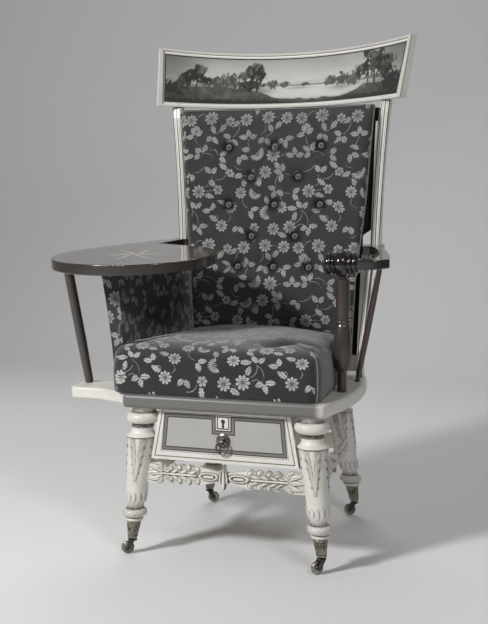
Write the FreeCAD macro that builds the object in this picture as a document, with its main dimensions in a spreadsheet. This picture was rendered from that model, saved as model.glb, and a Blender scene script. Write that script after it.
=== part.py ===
import FreeCAD, Part
import Sketcher
import math, os

# Writing arm windsor chair. X points to the sitter's left, Y to the back, Z up.
# In the names, left and right are as seen from the front: left is -X, where the writing board is.
# While it is built, the chair's centre plane is X = 0, Y = 0 lies midway between the legs and
# Z = 0 is the floor. At the end every piece is moved so that the origin is the middle of the footprint.

SIZES = {
    # clearances and overruns
    "nil": 0, "gap": 0.3, "run_gap": 0.05, "over": 60, "soft_gap": 1.5,
    # seat board
    "seat_top": 341, "seat_thick": 28, "seat_front": 243, "seat_back": 222, "seat_front_half": 212,
    "seat_back_half": 196, "seat_side_bow": 790, "seat_corner": 12, "seat_back_corner": 60,
    "seat_edge": 8,
    # bracket that carries the writing board's post
    "bracket_joint": 214, "bracket_reach": 362, "bracket_front": 191, "bracket_root": 232,
    "bracket_back": 92, "bracket_thick": 25, "bracket_bow": 150, "bracket_neck": 300,
    "bracket_corner": 24, "bracket_edge": 5, "dowel": 5, "dowel_long": 60, "dowel_inset": 35,
    # legs: where the axes meet the floor and where they are at the height of the torus
    "front_foot_half": 206, "front_foot_y": 218, "front_top_half": 179, "front_top_y": 208,
    "back_foot_half": 187, "back_foot_y": 203, "back_top_half": 140, "back_top_y": 190,
    "torus_high": 290, "leg_torus": 33.5, "torus_half": 11.5, "leg_neck": 24.8, "leg_cove": 23,
    "cove_high": 271, "collar_high": 252, "leg_collar": 32, "collar_lip": 4, "column_top": 29,
    "column_low": 21, "column_low_high": 112, "ankle_neck": 17.5, "ankle_neck_high": 107,
    "ankle_ring": 25.5, "ankle_high": 89, "ankle_half": 9, "foot_bead": 19, "foot_bead_high": 75.5,
    "foot_bead_half": 4.5, "leg_into_seat": 14,
    # brass cap on each foot
    "cap_top": 70, "cap_top_half": 15, "cap_low": 34.5, "cap_low_half": 10.2, "cap_wall": 1.5,
    "cap_floor": 2.5,
    # casters
    "stem": 4, "stem_up": 30, "crown_top": 31.5, "crown_thick": 3, "crown": 9.5, "cheek": 2.5,
    "wheel": 13.5, "wheel_thick": 11, "wheel_crown": 60, "hub": 5, "axle": 2.5, "trail": 10,
    "cheek_half": 5.5, "cheek_gap": 0.4, "tread_step": 0.5, "tread_rise": 2,
    # stretchers
    "rail_low": 150, "rail_high": 204, "rail_core": 10, "rail_relief": 5, "rail_let_in": 8,
    "rail_waist": 17, "eye": 5.5, "boss_half": 7.5, "side_rail_high": 197,
    "back_rail_tall": 36, "back_rail_thick": 14, "boss_rim": 2, "boss_rise": 7, "scroll": 12.5,
    "scroll_bead": 3,
    # drawer case under the seat
    "face_front": 222, "face_thick": 18, "face_top_half": 139.5, "face_low_half": 157,
    "face_low": 207, "case_half": 128, "case_thick": 12, "case_back": 148,
    "case_low": 217, "runner_wide": 20, "runner_tall": 12, "screw": 2, "screw_long": 26,
    "screw_head": 4,
    # drawer
    "drawer_top": 306, "drawer_low": 224, "drawer_top_half": 127, "drawer_low_half": 136.5,
    "drawer_thick": 18, "drawer_gap": 1, "box_half": 126, "box_thick": 10, "box_tall": 66,
    "box_long": 325, "floor_thick": 6, "floor_up": 7, "groove": 5,
    # lock and pull
    "plate_half": 15, "plate_thick": 1.5, "plate_mid_high": 290, "key_round": 2.6, "key_slot": 9,
    "key_slot_half": 1.5, "lock_half": 25, "lock_tall": 38, "lock_thick": 9, "bolt_half": 9, "bolt_thick": 5,
    "bolt_tall": 24, "bolt_travel": 7, "pull_high": 253, "rosette": 15, "rosette_thick": 3, "rosette_rim": 1, "spigot": 2.5, "spigot_long": 12,
    "lug_half": 2.5, "lug_out": 8, "lug_nose": 4.5, "ring_mid": 12.5, "ring_wire": 2, "ring_eye": 2.6,
    # arms lie in planes that fall towards the front
    "arm_angle": 5.14, "arm_root_y": 159, "left_arm_top": 651, "right_arm_top": 638,
    "arm_end_back": 26, "arm_end_front": 16, "arm_end_in": 201, "arm_end_out": 249,
    # writing board
    "board_thick": 22, "board_round": 174, "board_mid_x": 223, "board_mid_y": 307,
    "board_join_x": 384, "board_in_x": 118, "board_neck_y": 2, "notch_in": 226,
    "notch_x": 251, "notch_y": 108, "board_edge": 2.5, "star_tip": 118, "star_root": 22,
    "star_deep": 1, "star_gap": 0.2,
    # right arm and its roll
    "arm_thick": 19, "arm_out_x": 306, "arm_out_y": 240, "arm_neck_y": 20, "arm_in_x": 222, "arm_front_y": 267, "arm_nose_x": 284,
    "arm_outer_bow": 805, "arm_inner_bow": 436, "hook_in_x": 272, "hook_in_y": 231,
    "roll_joint_x": 246, "arm_nose": 24, "hook_corner": 9, "arm_edge": 3, "roll_long": 72,
    "roll_round": 24.5, "roll_groove": 18, "roll_ring": 22, "roll_knob": 10,
    # posts and spindle of the arms
    "post_tenon": 7, "post_into": 13, "post_foot_x": 211, "post_foot_y": 81, "post_top_x": 213,
    "post_top_y": 98, "post_foot": 9.5, "post_bulb": 16.5, "post_bulb_low": 46, "post_bulb_high": 138,
    "post_ring": 17.5, "post_ring_half": 4, "post_shaft": 13.5, "post_swell": 15,
    "left_post_foot_x": 342, "left_post_foot_y": 126, "left_post_top_x": 381, "left_post_top_y": 148,
    "left_post_foot": 9, "left_post": 10.5, "spindle_foot_x": 214, "spindle_foot_y": 62,
    "spindle_top_x": 268, "spindle_top_y": 40, "spindle_bow": 4500, "spindle_end": 5,
    "bulb_bow": 260, "shaft_bow": 900, "post_collar": 2.5,
    # back posts
    "low_post_in": 196, "low_post_foot": 211, "low_post_head": 247, "low_post_deep": 26,
    "low_post_foot_y": 131, "low_post_bow": 900, "low_post_let_in": 10, "high_post_wide": 23,
    "high_post_foot": 244, "high_post_head": 262, "high_post_bow": 3000, "high_post_deep": 24,
    "high_post_lean": 1, "post_edge": 3, "head_tenon_half": 7, "head_tenon_tall": 14,
    "head_tenon_thick": 8, "head_tenon_in": 4, "post_dowel_long": 70, "post_trim": 4,
    "low_post_in_head": 201, "post_dowel_x": 233, "post_dowel_y": 172,
    # crest
    "crest_low": 956, "crest_low_mid": 958, "crest_low_rise": 7.5, "crest_high": 1110,
    "crest_high_mid": 1092, "crest_high_rise": 17, "crest_half": 287, "crest_half_top": 303.3,
    "crest_end_y": 140, "crest_end_y_top": 199, "crest_sag": 80, "crest_sag_top": 88,
    "crest_thick": 18, "bead_out": 4, "bead_wide": 5,
    # back frame and cover
    "frame_thick": 18, "frame_sag": 22, "top_rail_low": 915, "top_rail_high": 945,
    "arm_rail_low": 621, "arm_rail_high": 639, "low_rail_low": 352, "low_rail_high": 388,
    "cover_thick": 2.5, "cover_step_low": 660, "cover_step_high": 672, "low_rail_y": 138,
    # tufted back pad: half width, front depth and back depth at each height
    "pad_low": 398, "pad_high": 952, "pad_half": 229, "pad_front": 108, "pad_deep": 74,
    "pad_corner": 16, "pad_sag": 22, "tuft_round": 26, "tuft_deep": 9, "tuft_root": 8,
    "tuft_mouth": 1, "button": 7, "button_thick": 5,
    # seat cushion
    "cushion_front": 240, "cushion_left": 222.5, "cushion_right": 201, "cushion_back": 100,
    "cushion_back_left": 194, "cushion_back_right": 178, "cushion_tall": 116.5,
    "cushion_crown_in": 110, "cushion_corner": 16,
    # upholstered panel under the writing board
    "panel_front": 212, "panel_back": 118, "panel_low_out": 239, "panel_low_in": 229,
    "panel_high_out": 272, "panel_high_in": 234, "panel_swell_high": 442, "panel_swell_in": 226,
    "panel_back_shift": 26, "panel_bow": 500, "panel_back_high_out": 232, "panel_back_high_in": 206,
}

doc = FreeCAD.newDocument("WritingArmChair")
sheet = doc.addObject("Spreadsheet::Sheet", "Sizes")
for row, (alias, number) in enumerate(SIZES.items(), start=1):
    sheet.set("A%d" % row, alias)
    sheet.set("B%d" % row, str(number))
    sheet.setAlias("B%d" % row, alias)
doc.recompute()


class Size:
    """A number together with the spreadsheet expression that gives it."""

    def __init__(self, number, text):
        self.number = float(number)
        self.text = text

    @staticmethod
    def wrap(other):
        return other if isinstance(other, Size) else Size(other, repr(other))

    def __float__(self):
        return self.number

    def __add__(self, other):
        other = Size.wrap(other)
        return Size(self.number + other.number, "(%s + %s)" % (self.text, other.text))

    def __sub__(self, other):
        other = Size.wrap(other)
        return Size(self.number - other.number, "(%s - %s)" % (self.text, other.text))

    def __mul__(self, other):
        other = Size.wrap(other)
        return Size(self.number * other.number, "(%s * %s)" % (self.text, other.text))

    def __truediv__(self, other):
        other = Size.wrap(other)
        return Size(self.number / other.number, "(%s / %s)" % (self.text, other.text))

    def __neg__(self):
        return Size(-self.number, "(0 - %s)" % self.text)


class Sheet:
    """Gives every spreadsheet cell by its alias, as a Size."""

    def __getattr__(self, alias):
        return Size(getattr(sheet, alias), "Sizes." + alias)


S = Sheet()
Vector = FreeCAD.Vector
pieces = []

# Radius of a turned moulding as a share of half its height: 1 is a half circle
ROUND_SHARE = 1.02
BULGE_SHARE = 1.15
COVE_SHARE = 0.9
TREAD_SHARE = 0.7


def vector(x, y, z):
    return Vector(float(x), float(y), float(z))


def along(start, end):
    """Placement whose Z axis runs from start towards end."""
    return FreeCAD.Placement(start, FreeCAD.Rotation(Vector(0, 0, 1), end - start))


def at_height(low, high, share_from, share_to, height):
    """Point on the line from low to high where it reaches a height."""
    share = (float(height) - share_from) / (share_to - share_from)
    return low + (high - low) * share


def new_body(label, placement=None):
    body = doc.addObject("PartDesign::Body", label)
    body.Label = label
    if placement:
        body.Placement = placement
    pieces.append(body)
    return body


def arc_radius(half_chord, rise):
    """Radius of the arc that rises by so much over a chord."""
    return (half_chord * half_chord + rise * rise) / (rise * 2)


def arc_through(start, end, radius, side):
    """Arc of a radius from start to end that bulges to the right (1) or left (-1) of the way."""
    half = (end - start) * 0.5
    away = Vector(half.y, -half.x, 0).normalize() * side
    rise = math.sqrt(max(radius ** 2 - half.Length ** 2, 0))
    centre = start + half - away * rise
    top = centre + away * radius
    return Part.Arc(start, top, end)


def draw(body, name, plane, outline, lift=None, extra=()):
    """Sketch of closed outlines. A corner is a pair of sizes; (radius, side) after it bends the next edge."""
    sketch = body.newObject("Sketcher::SketchObject", name)
    face = [item for item in body.Origin.OriginFeatures if item.Role == plane][0]
    sketch.AttachmentSupport = [(face, "")]
    sketch.MapMode = "FlatFace"
    if lift is not None:
        sketch.AttachmentOffset = FreeCAD.Placement(vector(0, 0, lift), FreeCAD.Rotation())
        sketch.setExpression("AttachmentOffset.Base.z", lift.text)
    curves = []
    rules = []
    for loop in (outline,) + tuple(extra):
        add_loop(curves, rules, loop)
    sketch.addGeometry(curves, False)
    sketch.addConstraint([Sketcher.Constraint(*rule) for rule, size in rules])
    for number, (rule, size) in enumerate(rules):
        if size:
            sketch.setExpression("Constraints[%d]" % number, size.text)
    return sketch


def add_loop(curves, rules, loop):
    """Adds a closed outline's curves, and its constraints, each with the size that drives it."""
    corners = [item for item in loop if len(item) == 2]
    bends = {}
    for index, item in enumerate(loop):
        if len(item) == 3:
            bends[len([past for past in loop[:index] if len(past) == 2]) - 1] = item
    points = [vector(x, y, 0) for x, y in corners]
    count = len(points)
    first = len(curves)
    for index, start in enumerate(points):
        end = points[(index + 1) % count]
        if index in bends:
            curves.append(arc_through(start, end, float(bends[index][1]), bends[index][2]))
        else:
            curves.append(Part.LineSegment(start, end))
    # an arc is kept counter-clockwise, so one that bulges to the left runs against the outline
    forward = [index not in bends or bends[index][2] > 0 for index in range(count)]
    for index, (x, y) in enumerate(corners):
        after = (index + 1) % count
        tail = 2 if forward[index] else 1
        head = 1 if forward[after] else 2
        rules.append((("Coincident", first + index, tail, first + after, head), None))
        end = 1 if forward[index] else 2
        rules.append((("DistanceX", -1, 1, first + index, end, float(x)), x))
        rules.append((("DistanceY", -1, 1, first + index, end, float(y)), y))
    for index, bow in bends.items():
        rules.append((("Radius", first + index, float(bow[1])), bow[1]))


def bend(radius, side):
    return ("bend", radius, side)


def add_feature(body, kind, name, **values):
    feature = body.newObject("PartDesign::" + kind, name)
    for key, value in values.items():
        if isinstance(value, Size):
            setattr(feature, key, float(value))
            feature.setExpression(key, value.text)
        else:
            setattr(feature, key, value)
    doc.recompute()
    if "Invalid" in feature.State:
        raise ValueError(name + " fails")
    return feature


def turn(body, name, outline):
    """Solid of revolution about the body's Z axis; the outline's pairs are radius and height."""
    sketch = draw(body, name + "_profile", "XZ_Plane", outline)
    return add_feature(body, "Revolution", name, Profile=sketch, ReferenceAxis=(sketch, ["V_Axis"]), Angle=360)


def pad(body, name, plane, outline, length, lift=None, back=False, extra=()):
    sketch = draw(body, name + "_outline", plane, outline, lift, extra)
    return add_feature(body, "Pad", name, Profile=sketch, Length=length, Reversed=back)


def pocket_through(body, name, plane, outline, extra=()):
    before = body.Shape.Volume
    sketch = draw(body, name + "_outline", plane, outline, None, extra)
    feature = add_feature(body, "Pocket", name, Profile=sketch, Type="ThroughAll", Midplane=True)
    if body.Shape.Volume >= before:
        raise ValueError(name + " cuts nothing")
    return feature


def bore(body, name, radius, height, placement):
    """Round hole along the Z axis of a placement that is given in the chair's frame."""
    before = body.Shape.Volume
    feature = add_feature(body, "SubtractiveCylinder", name, Radius=radius, Height=height)
    feature.Placement = body.Placement.inverse() * placement
    doc.recompute()
    if body.Shape.Volume >= before:
        raise ValueError(name + " cuts nothing")
    return feature


def box_cut(body, name, length, width, height, placement):
    """Box hole whose corner and axes are those of a placement in the chair's frame."""
    before = body.Shape.Volume
    feature = add_feature(body, "SubtractiveBox", name, Length=length, Width=width, Height=height)
    feature.Placement = body.Placement.inverse() * placement
    doc.recompute()
    if body.Shape.Volume >= before:
        raise ValueError(name + " cuts nothing")
    return feature


def round_edges(body, name, radius, chosen):
    """Fillet on the edges of the body's tip that a test picks."""
    base = body.Tip
    names = ["Edge%d" % (index + 1) for index, edge in enumerate(base.Shape.Edges) if chosen(edge)]
    return add_feature(body, "Fillet", name, Base=(base, names), Radius=radius)


def upright(edge):
    ends = [vertex.Point for vertex in edge.Vertexes]
    return len(ends) == 2 and abs((ends[1] - ends[0]).normalize().z) > 0.999


def near_x(vertex, x):
    return abs(vertex.Point.x - float(x)) < 1e-4


def level_at(height):
    return lambda edge: all(abs(vertex.Point.z - float(height)) < 1e-4 for vertex in edge.Vertexes)


def loft(body, name, sections, ruled=False):
    return add_feature(body, "AdditiveLoft", name, Profile=sections[0], Sections=sections[1:], Ruled=ruled)


# Legs: every leg is turned about a raked axis. The feet stand wider than the tops.
LEGS = {
    "front_left": (-S.front_foot_half, -S.front_foot_y, -S.front_top_half, -S.front_top_y),
    "front_right": (S.front_foot_half, -S.front_foot_y, S.front_top_half, -S.front_top_y),
    "back_left": (-S.back_foot_half, S.back_foot_y, -S.back_top_half, S.back_top_y),
    "back_right": (S.back_foot_half, S.back_foot_y, S.back_top_half, S.back_top_y),
}
# Which way each caster trails, in degrees from +X
CASTER_YAW = {"front_left": 200, "front_right": 225, "back_left": 15, "back_right": 190}


def leg_axis(name):
    foot_x, foot_y, top_x, top_y = LEGS[name]
    return vector(foot_x, foot_y, 0), vector(top_x, top_y, S.torus_high)


def leg_point(name, height):
    foot, top = leg_axis(name)
    return at_height(foot, top, 0, float(S.torus_high), height)


def leg_placement(name):
    foot, top = leg_axis(name)
    return along(foot, top)


def make_leg(name):
    body = new_body(name + "_leg", leg_placement(name))
    seat_low = S.seat_top - S.seat_thick
    tip = S.cap_low_half - S.cap_wall - S.gap
    root = S.cap_top_half - S.cap_wall - S.gap
    turn(body, name + "_turning", [
        (S.nil, S.cap_low + S.cap_floor + S.gap),
        (tip, S.cap_low + S.cap_floor + S.gap),
        (root, S.cap_top + S.gap),
        (S.cap_top_half, S.cap_top + S.gap),
        (S.cap_top_half, S.foot_bead_high - S.foot_bead_half),
        bend(S.foot_bead_half * BULGE_SHARE, 1),
        (S.cap_top_half, S.foot_bead_high + S.foot_bead_half),
        (S.ankle_neck, S.ankle_high - S.ankle_half),
        bend(S.ankle_half * ROUND_SHARE, 1),
        (S.ankle_neck, S.ankle_high + S.ankle_half),
        (S.ankle_neck, S.ankle_neck_high),
        (S.column_low, S.column_low_high),
        (S.column_top, S.collar_high - S.collar_lip / 2),
        (S.leg_collar, S.collar_high - S.collar_lip / 2),
        (S.leg_collar, S.collar_high + S.collar_lip / 2),
        bend((S.cove_high - S.collar_high) * COVE_SHARE, -1),
        (S.leg_cove, S.cove_high),
        (S.leg_cove, S.torus_high - S.torus_half),
        bend(S.torus_half * ROUND_SHARE, 1),
        (S.leg_neck, S.torus_high + S.torus_half),
        (S.leg_neck, seat_low + S.leg_into_seat),
        (S.nil, seat_low + S.leg_into_seat),
    ])
    foot = leg_point(name, S.cap_low)
    stem_hole = FreeCAD.Placement(vector(foot.x, foot.y, 0), FreeCAD.Rotation())
    bore(body, name + "_stem_hole", S.stem + S.gap, S.crown_top + S.stem_up + S.gap, stem_hole)
    return body


def make_cap(name):
    body = new_body(name + "_cap", leg_placement(name))
    turn(body, name + "_cap_cone", [
        (S.nil, S.cap_low),
        (S.cap_low_half, S.cap_low),
        (S.cap_top_half, S.cap_top),
        (S.cap_top_half - S.cap_wall, S.cap_top),
        (S.cap_low_half - S.cap_wall, S.cap_low + S.cap_floor),
        (S.nil, S.cap_low + S.cap_floor),
    ])
    foot = leg_point(name, S.cap_low)
    hole = FreeCAD.Placement(vector(foot.x, foot.y, 0), FreeCAD.Rotation())
    bore(body, name + "_cap_bore", S.stem + S.run_gap, S.crown_top + S.stem_up, hole)
    return body


def caster_placement(name):
    foot = leg_point(name, S.cap_low)
    turned = FreeCAD.Rotation(Vector(0, 0, 1), CASTER_YAW[name])
    return FreeCAD.Placement(vector(foot.x, foot.y, 0), turned)


def make_fork(name):
    """Stem, crown and two cheeks; local +X is the way the wheel trails."""
    body = new_body(name + "_caster_fork", caster_placement(name))
    inner = S.wheel_thick / 2 + S.cheek_gap
    low = S.crown_top - S.crown_thick
    turn(body, name + "_stem", [
        (S.nil, low),
        (S.crown, low),
        (S.crown, S.crown_top),
        (S.stem, S.crown_top),
        (S.stem, S.crown_top + S.stem_up),
        (S.nil, S.crown_top + S.stem_up),
    ])
    for side in (-1, 1):
        offset = inner if side > 0 else -(inner + S.cheek)
        label = "%s_cheek_%d" % (name, side + 1)
        sketch = draw(body, label + "_outline", "XZ_Plane", [
            (-S.cheek_half, low + S.crown_thick / 2),
            (S.trail - S.cheek_half, S.wheel),
            bend(S.cheek_half * ROUND_SHARE, 1),
            (S.trail + S.cheek_half, S.wheel),
            (S.cheek_half, low + S.crown_thick / 2),
        ], -offset - S.cheek)
        add_feature(body, "Pad", label, Profile=sketch, Length=S.cheek)
    pin = FreeCAD.Placement(vector(S.trail, inner + S.cheek, S.wheel), FreeCAD.Rotation(Vector(1, 0, 0), 90))
    axle = add_feature(body, "AdditiveCylinder", name + "_axle", Radius=S.axle, Height=(inner + S.cheek) * 2)
    axle.Placement = pin
    doc.recompute()
    return body


def wheel_centre(name):
    return caster_placement(name).multVec(vector(S.trail, 0, S.wheel))


def make_wheel(name):
    turned = FreeCAD.Rotation(Vector(0, 0, 1), CASTER_YAW[name]) * FreeCAD.Rotation(Vector(1, 0, 0), 90)
    body = new_body(name + "_caster_wheel", FreeCAD.Placement(wheel_centre(name), turned))
    half = S.wheel_thick / 2
    face = half * TREAD_SHARE
    turn(body, name + "_tread", [
        (S.axle + S.run_gap, -half),
        (S.hub, -half),
        (S.hub + S.tread_step, -face),
        (S.wheel - S.tread_rise, -face),
        bend(arc_radius(face, S.tread_rise), 1),
        (S.wheel - S.tread_rise, face),
        (S.hub + S.tread_step, face),
        (S.hub, half),
        (S.axle + S.run_gap, half),
    ])
    return body


legs = {name: make_leg(name) for name in LEGS}
for name in LEGS:
    make_cap(name)
    make_fork(name)
    make_wheel(name)


# Seat board: straight front edge, bowed sides, sockets for the legs and posts
def seat_outline():
    return [
        (-S.seat_front_half, -S.seat_front),
        (S.seat_front_half, -S.seat_front),
        bend(S.seat_side_bow, 1),
        (S.seat_back_half, S.seat_back),
        (-S.seat_back_half, S.seat_back),
        bend(S.seat_side_bow, 1),
    ]


def post_line(foot_x, foot_y, top_x, top_y, top_z):
    return vector(foot_x, foot_y, S.seat_top), vector(top_x, top_y, top_z)


ARM_FALL = math.tan(math.radians(float(S.arm_angle)))


def arm_frame(top):
    """Plane of an arm's top face; local X and Y run along it, local Z stands on it."""
    turned = FreeCAD.Rotation(Vector(1, 0, 0), float(S.arm_angle))
    return FreeCAD.Placement(vector(0, S.arm_root_y, top), turned)


def arm_height(top, thick, y):
    """Height of an arm's underside at a place along the chair."""
    return float(top) - float(thick) / math.cos(math.radians(float(S.arm_angle))) + ARM_FALL * (
        float(y) - float(S.arm_root_y))


BOARD_UNDER = arm_height(S.left_arm_top, S.board_thick, -S.left_post_top_y)
ROLL_CENTRE = arm_frame(S.right_arm_top).multVec(
    vector(S.post_top_x, (S.hook_in_y + S.arm_front_y) / -2, -S.arm_thick / 2))
POSTS = {
    "writing_board_post": post_line(-S.left_post_foot_x, -S.left_post_foot_y, -S.left_post_top_x,
                                    -S.left_post_top_y, BOARD_UNDER),
    "right_arm_post": (vector(S.post_foot_x, -S.post_foot_y, S.seat_top), ROLL_CENTRE),
    "right_spindle": post_line(S.spindle_foot_x, S.spindle_foot_y, S.spindle_top_x, S.spindle_top_y,
                               arm_height(S.right_arm_top, S.arm_thick, S.spindle_top_y)),
}


def socket_at(start, end, deep):
    """Placement at the bottom of a socket that is bored from start away from end."""
    way = (end - start).normalize()
    return along(start - way * float(deep), end)


def make_seat_board():
    body = new_body("seat_board")
    low = S.seat_top - S.seat_thick
    pad(body, "board", "XY_Plane", seat_outline(), S.seat_thick, low)
    round_edges(body, "front_corners", S.seat_corner,
                lambda edge: upright(edge) and edge.Vertexes[0].Y < 0)
    round_edges(body, "back_corners", S.seat_back_corner,
                lambda edge: upright(edge) and edge.Vertexes[0].Y > 0)
    front = float(S.seat_front) - 1e-3
    round_edges(body, "soft_rim", S.seat_edge,
                lambda edge: not upright(edge) and max(v.Y for v in edge.Vertexes) > -front + float(S.seat_corner))
    cut = FreeCAD.Placement(vector(-S.seat_front_half - S.over, -S.seat_front - S.gap, low - S.gap),
                            FreeCAD.Rotation())
    box_cut(body, "bracket_seat", S.seat_front_half + S.over - S.bracket_joint,
            S.seat_front + S.gap - S.bracket_back, S.seat_thick + S.gap * 2, cut)
    for name in LEGS:
        foot, top = leg_axis(name)
        bore(body, name + "_socket", S.leg_neck + S.gap, low + S.leg_into_seat + S.gap, along(foot, top))
    for name in ("right_arm_post", "right_spindle"):
        start, end = POSTS[name]
        radius = S.post_tenon if name == "right_arm_post" else S.spindle_end
        deep = S.post_into + S.gap
        bore(body, name + "_socket", radius + S.gap, deep + S.over, socket_at(start, end, deep))
    for place in dowel_places():
        bore(body, "dowel_hole_%d" % dowel_places().index(place), S.dowel + S.gap,
             S.dowel_long / 2 + S.gap, FreeCAD.Placement(place, FreeCAD.Rotation(Vector(0, 1, 0), 90)))
    return body


def dowel_places():
    """Middle of each dowel across the joint between seat board and bracket."""
    middle = S.seat_top - S.bracket_thick / 2
    return [vector(-S.bracket_joint, -S.bracket_back - S.dowel_inset * count, middle) for count in (1, 2)]


def make_bracket():
    body = new_body("writing_board_bracket")
    pad(body, "bracket", "XY_Plane", [
        (-S.bracket_joint, -S.bracket_back),
        (-S.bracket_reach, -S.bracket_back),
        (-S.bracket_reach, -S.bracket_front),
        (-S.bracket_neck, -S.bracket_front),
        bend(S.bracket_bow, -1),
        (-S.bracket_joint, -S.bracket_root),
    ], S.bracket_thick, S.seat_top - S.bracket_thick)
    round_edges(body, "ends", S.bracket_corner,
                lambda edge: upright(edge) and abs(edge.Vertexes[0].X + float(S.bracket_reach)) < 1e-4)
    joint = float(S.bracket_joint)
    inside = -float(S.bracket_back) - 1e-3
    round_edges(body, "soft_edges", S.bracket_edge,
                lambda edge: not upright(edge) and min(v.X for v in edge.Vertexes) < -joint - 1e-3
                and not all(v.Y > inside for v in edge.Vertexes))
    start, end = POSTS["writing_board_post"]
    deep = S.post_into + S.gap
    bore(body, "post_socket", S.post_tenon + S.gap, deep + S.over, socket_at(start, end, deep))
    for index, place in enumerate(dowel_places()):
        turned = FreeCAD.Rotation(Vector(0, 1, 0), -90)
        bore(body, "dowel_hole_%d" % index, S.dowel + S.gap, S.dowel_long / 2 + S.gap,
             FreeCAD.Placement(place, turned))
    return body


def make_dowels():
    """Two dowels, joined to one node."""
    dowels = []
    for index, place in enumerate(dowel_places()):
        dowel = doc.addObject("Part::Cylinder", "dowel_%d" % index)
        dowel.Radius = float(S.dowel)
        dowel.setExpression("Radius", S.dowel.text)
        dowel.Height = float(S.dowel_long)
        dowel.setExpression("Height", S.dowel_long.text)
        start = place - vector(S.dowel_long / 2, 0, 0)
        dowel.Placement = FreeCAD.Placement(start, FreeCAD.Rotation(Vector(0, 1, 0), 90))
        dowels.append(dowel)
    return new_group("bracket_dowels", dowels)


def new_group(label, members):
    """Several like pieces kept in one node."""
    group = doc.addObject("Part::Compound", label)
    group.Label = label
    group.Links = members
    pieces.append(group)
    doc.recompute()
    return group


make_seat_board()
make_bracket()
make_dowels()


# Posts and spindle under the arms
def make_posts():
    start, end = POSTS["right_arm_post"]
    long = Size((end - start).Length, repr((end - start).Length)) - S.roll_round
    body = new_body("right_arm_post", along(start, end))
    turn(body, "arm_post_turning", [
        (S.nil, -S.post_into),
        (S.post_tenon, -S.post_into),
        (S.post_tenon, S.gap),
        (S.post_foot, S.gap),
        (S.post_foot, S.post_bulb_low - S.post_foot / 2),
        (S.post_bulb, S.post_bulb_low + S.post_foot / 2),
        bend(S.bulb_bow, 1),
        (S.post_swell, S.post_bulb_high),
        (S.post_ring - S.post_ring_half, S.post_bulb_high + S.post_ring_half),
        bend(S.post_ring_half * BULGE_SHARE, 1),
        (S.post_ring - S.post_ring_half, S.post_bulb_high + S.post_ring_half * 3),
        (S.post_shaft, S.post_bulb_high + S.post_ring_half * 4),
        bend(S.shaft_bow, 1),
        (S.post_shaft, long - S.post_ring_half * 2),
        (S.post_tenon, long - S.post_ring_half),
        (S.post_tenon, long + S.post_into),
        (S.nil, long + S.post_into),
    ])
    start, end = POSTS["writing_board_post"]
    long = Size((end - start).Length, repr((end - start).Length))
    body = new_body("writing_board_post", along(start, end))
    turn(body, "board_post_turning", [
        (S.nil, -S.post_into),
        (S.post_tenon, -S.post_into),
        (S.post_tenon, S.post_collar),
        (S.left_post_foot, S.post_collar),
        (S.left_post, long / 3),
        (S.left_post, long - S.left_post),
        (S.left_post_foot, long - S.post_collar),
        (S.post_tenon, long - S.post_collar),
        (S.post_tenon, long + S.post_into),
        (S.nil, long + S.post_into),
    ])
    start, end = POSTS["right_spindle"]
    long = Size((end - start).Length, repr((end - start).Length))
    body = new_body("right_spindle", along(start, end))
    turn(body, "spindle_turning", [
        (S.nil, -S.post_into),
        (S.spindle_end, -S.post_into),
        (S.spindle_end, S.spindle_end),
        bend(S.spindle_bow, 1),
        (S.spindle_end, long - S.spindle_end),
        (S.spindle_end, long + S.post_into),
        (S.nil, long + S.post_into),
    ])


make_posts()


def box_body(label, corner, size):
    """Plain board: a box with its lowest corner and its size along X, Y and Z."""
    body = new_body(label)
    box = add_feature(body, "AdditiveBox", label + "_board", Length=size[0], Width=size[1], Height=size[2])
    for axis, place in zip("xyz", corner):
        box.setExpression("Placement.Base." + axis, place.text)
    doc.recompute()
    return body


def block_cut(body, name, corner, size):
    """Square recess given by its lowest corner and its size in the chair's frame."""
    return box_cut(body, name, size[0], size[1], size[2], FreeCAD.Placement(vector(*corner), FreeCAD.Rotation()))


def fixed(number):
    """Size for a value that is worked out from others by more than a sum."""
    return Size(number, repr(float(number)))


# Stretchers: the front and side ones are carved boards let into the legs, the back one is plain
def leg_reach(foot, top, height):
    """How far out a leg's axis is at a height."""
    return foot + (top - foot) * height / S.torus_high


def column_radius(height):
    high = S.collar_high - S.collar_lip / 2
    rise = (height - S.column_low_high) / (high - S.column_low_high)
    return S.column_low + (S.column_top - S.column_low) * rise


RAIL_MID = (S.rail_low + S.rail_high) / 2
RAIL_SINK = column_radius(RAIL_MID) - S.rail_let_in
# Scalloped edge from the middle to the end: shares of half the length and of half the height, bulge share
TOP_EDGE_SHARES = [(1.00, 0.74, None), (0.93, 0.60, 2.5), (0.70, 0.90, None), (0.66, 0.42, 0.60),
                   (0.585, 0.56, 0.54), (0.50, 0.60, 0.53), (0.40, 0.60, 0.53), (0.28, 0.56, 0.54),
                   (0.055, 0.30, None)]
LOW_EDGE_SHARES = [(0.055, -0.30, 0.54), (0.28, -0.56, 0.53), (0.39, -0.62, 0.53), (0.50, -0.64, 0.53),
                   (0.60, -0.60, 0.60), (0.66, -0.42, None), (0.72, -0.90, 2.5), (0.90, -0.84, None),
                   (1.00, -0.88, None)]
# Leaves: root, tip, and the bows of the outer and inner edge as shares of the leaf's length
LEAF_SHARES = [(0.43, 0.15, 0.31, 0.70, 0.62, 1.3), (0.53, 0.15, 0.42, 0.74, 0.62, 1.3),
               (0.61, 0.15, 0.515, 0.72, 0.62, 1.3), (0.67, 0.15, 0.60, 0.62, 0.62, 1.3)]
# Lobes of the palmette at each end: root and tip
PALM_SHARES = [(0.715, 0.25, 0.735, 0.78), (0.75, 0.24, 0.86, 0.60), (0.70, 0.0, 0.925, 0.0),
               (0.75, -0.24, 0.88, -0.66), (0.715, -0.25, 0.745, -0.78)]
PALM_BOW_SHARE = 1.1
SCROLL_SHARE = 0.165
STEM_SHARES = (0.26, 0.09, 0.68, 0.04)


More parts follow.
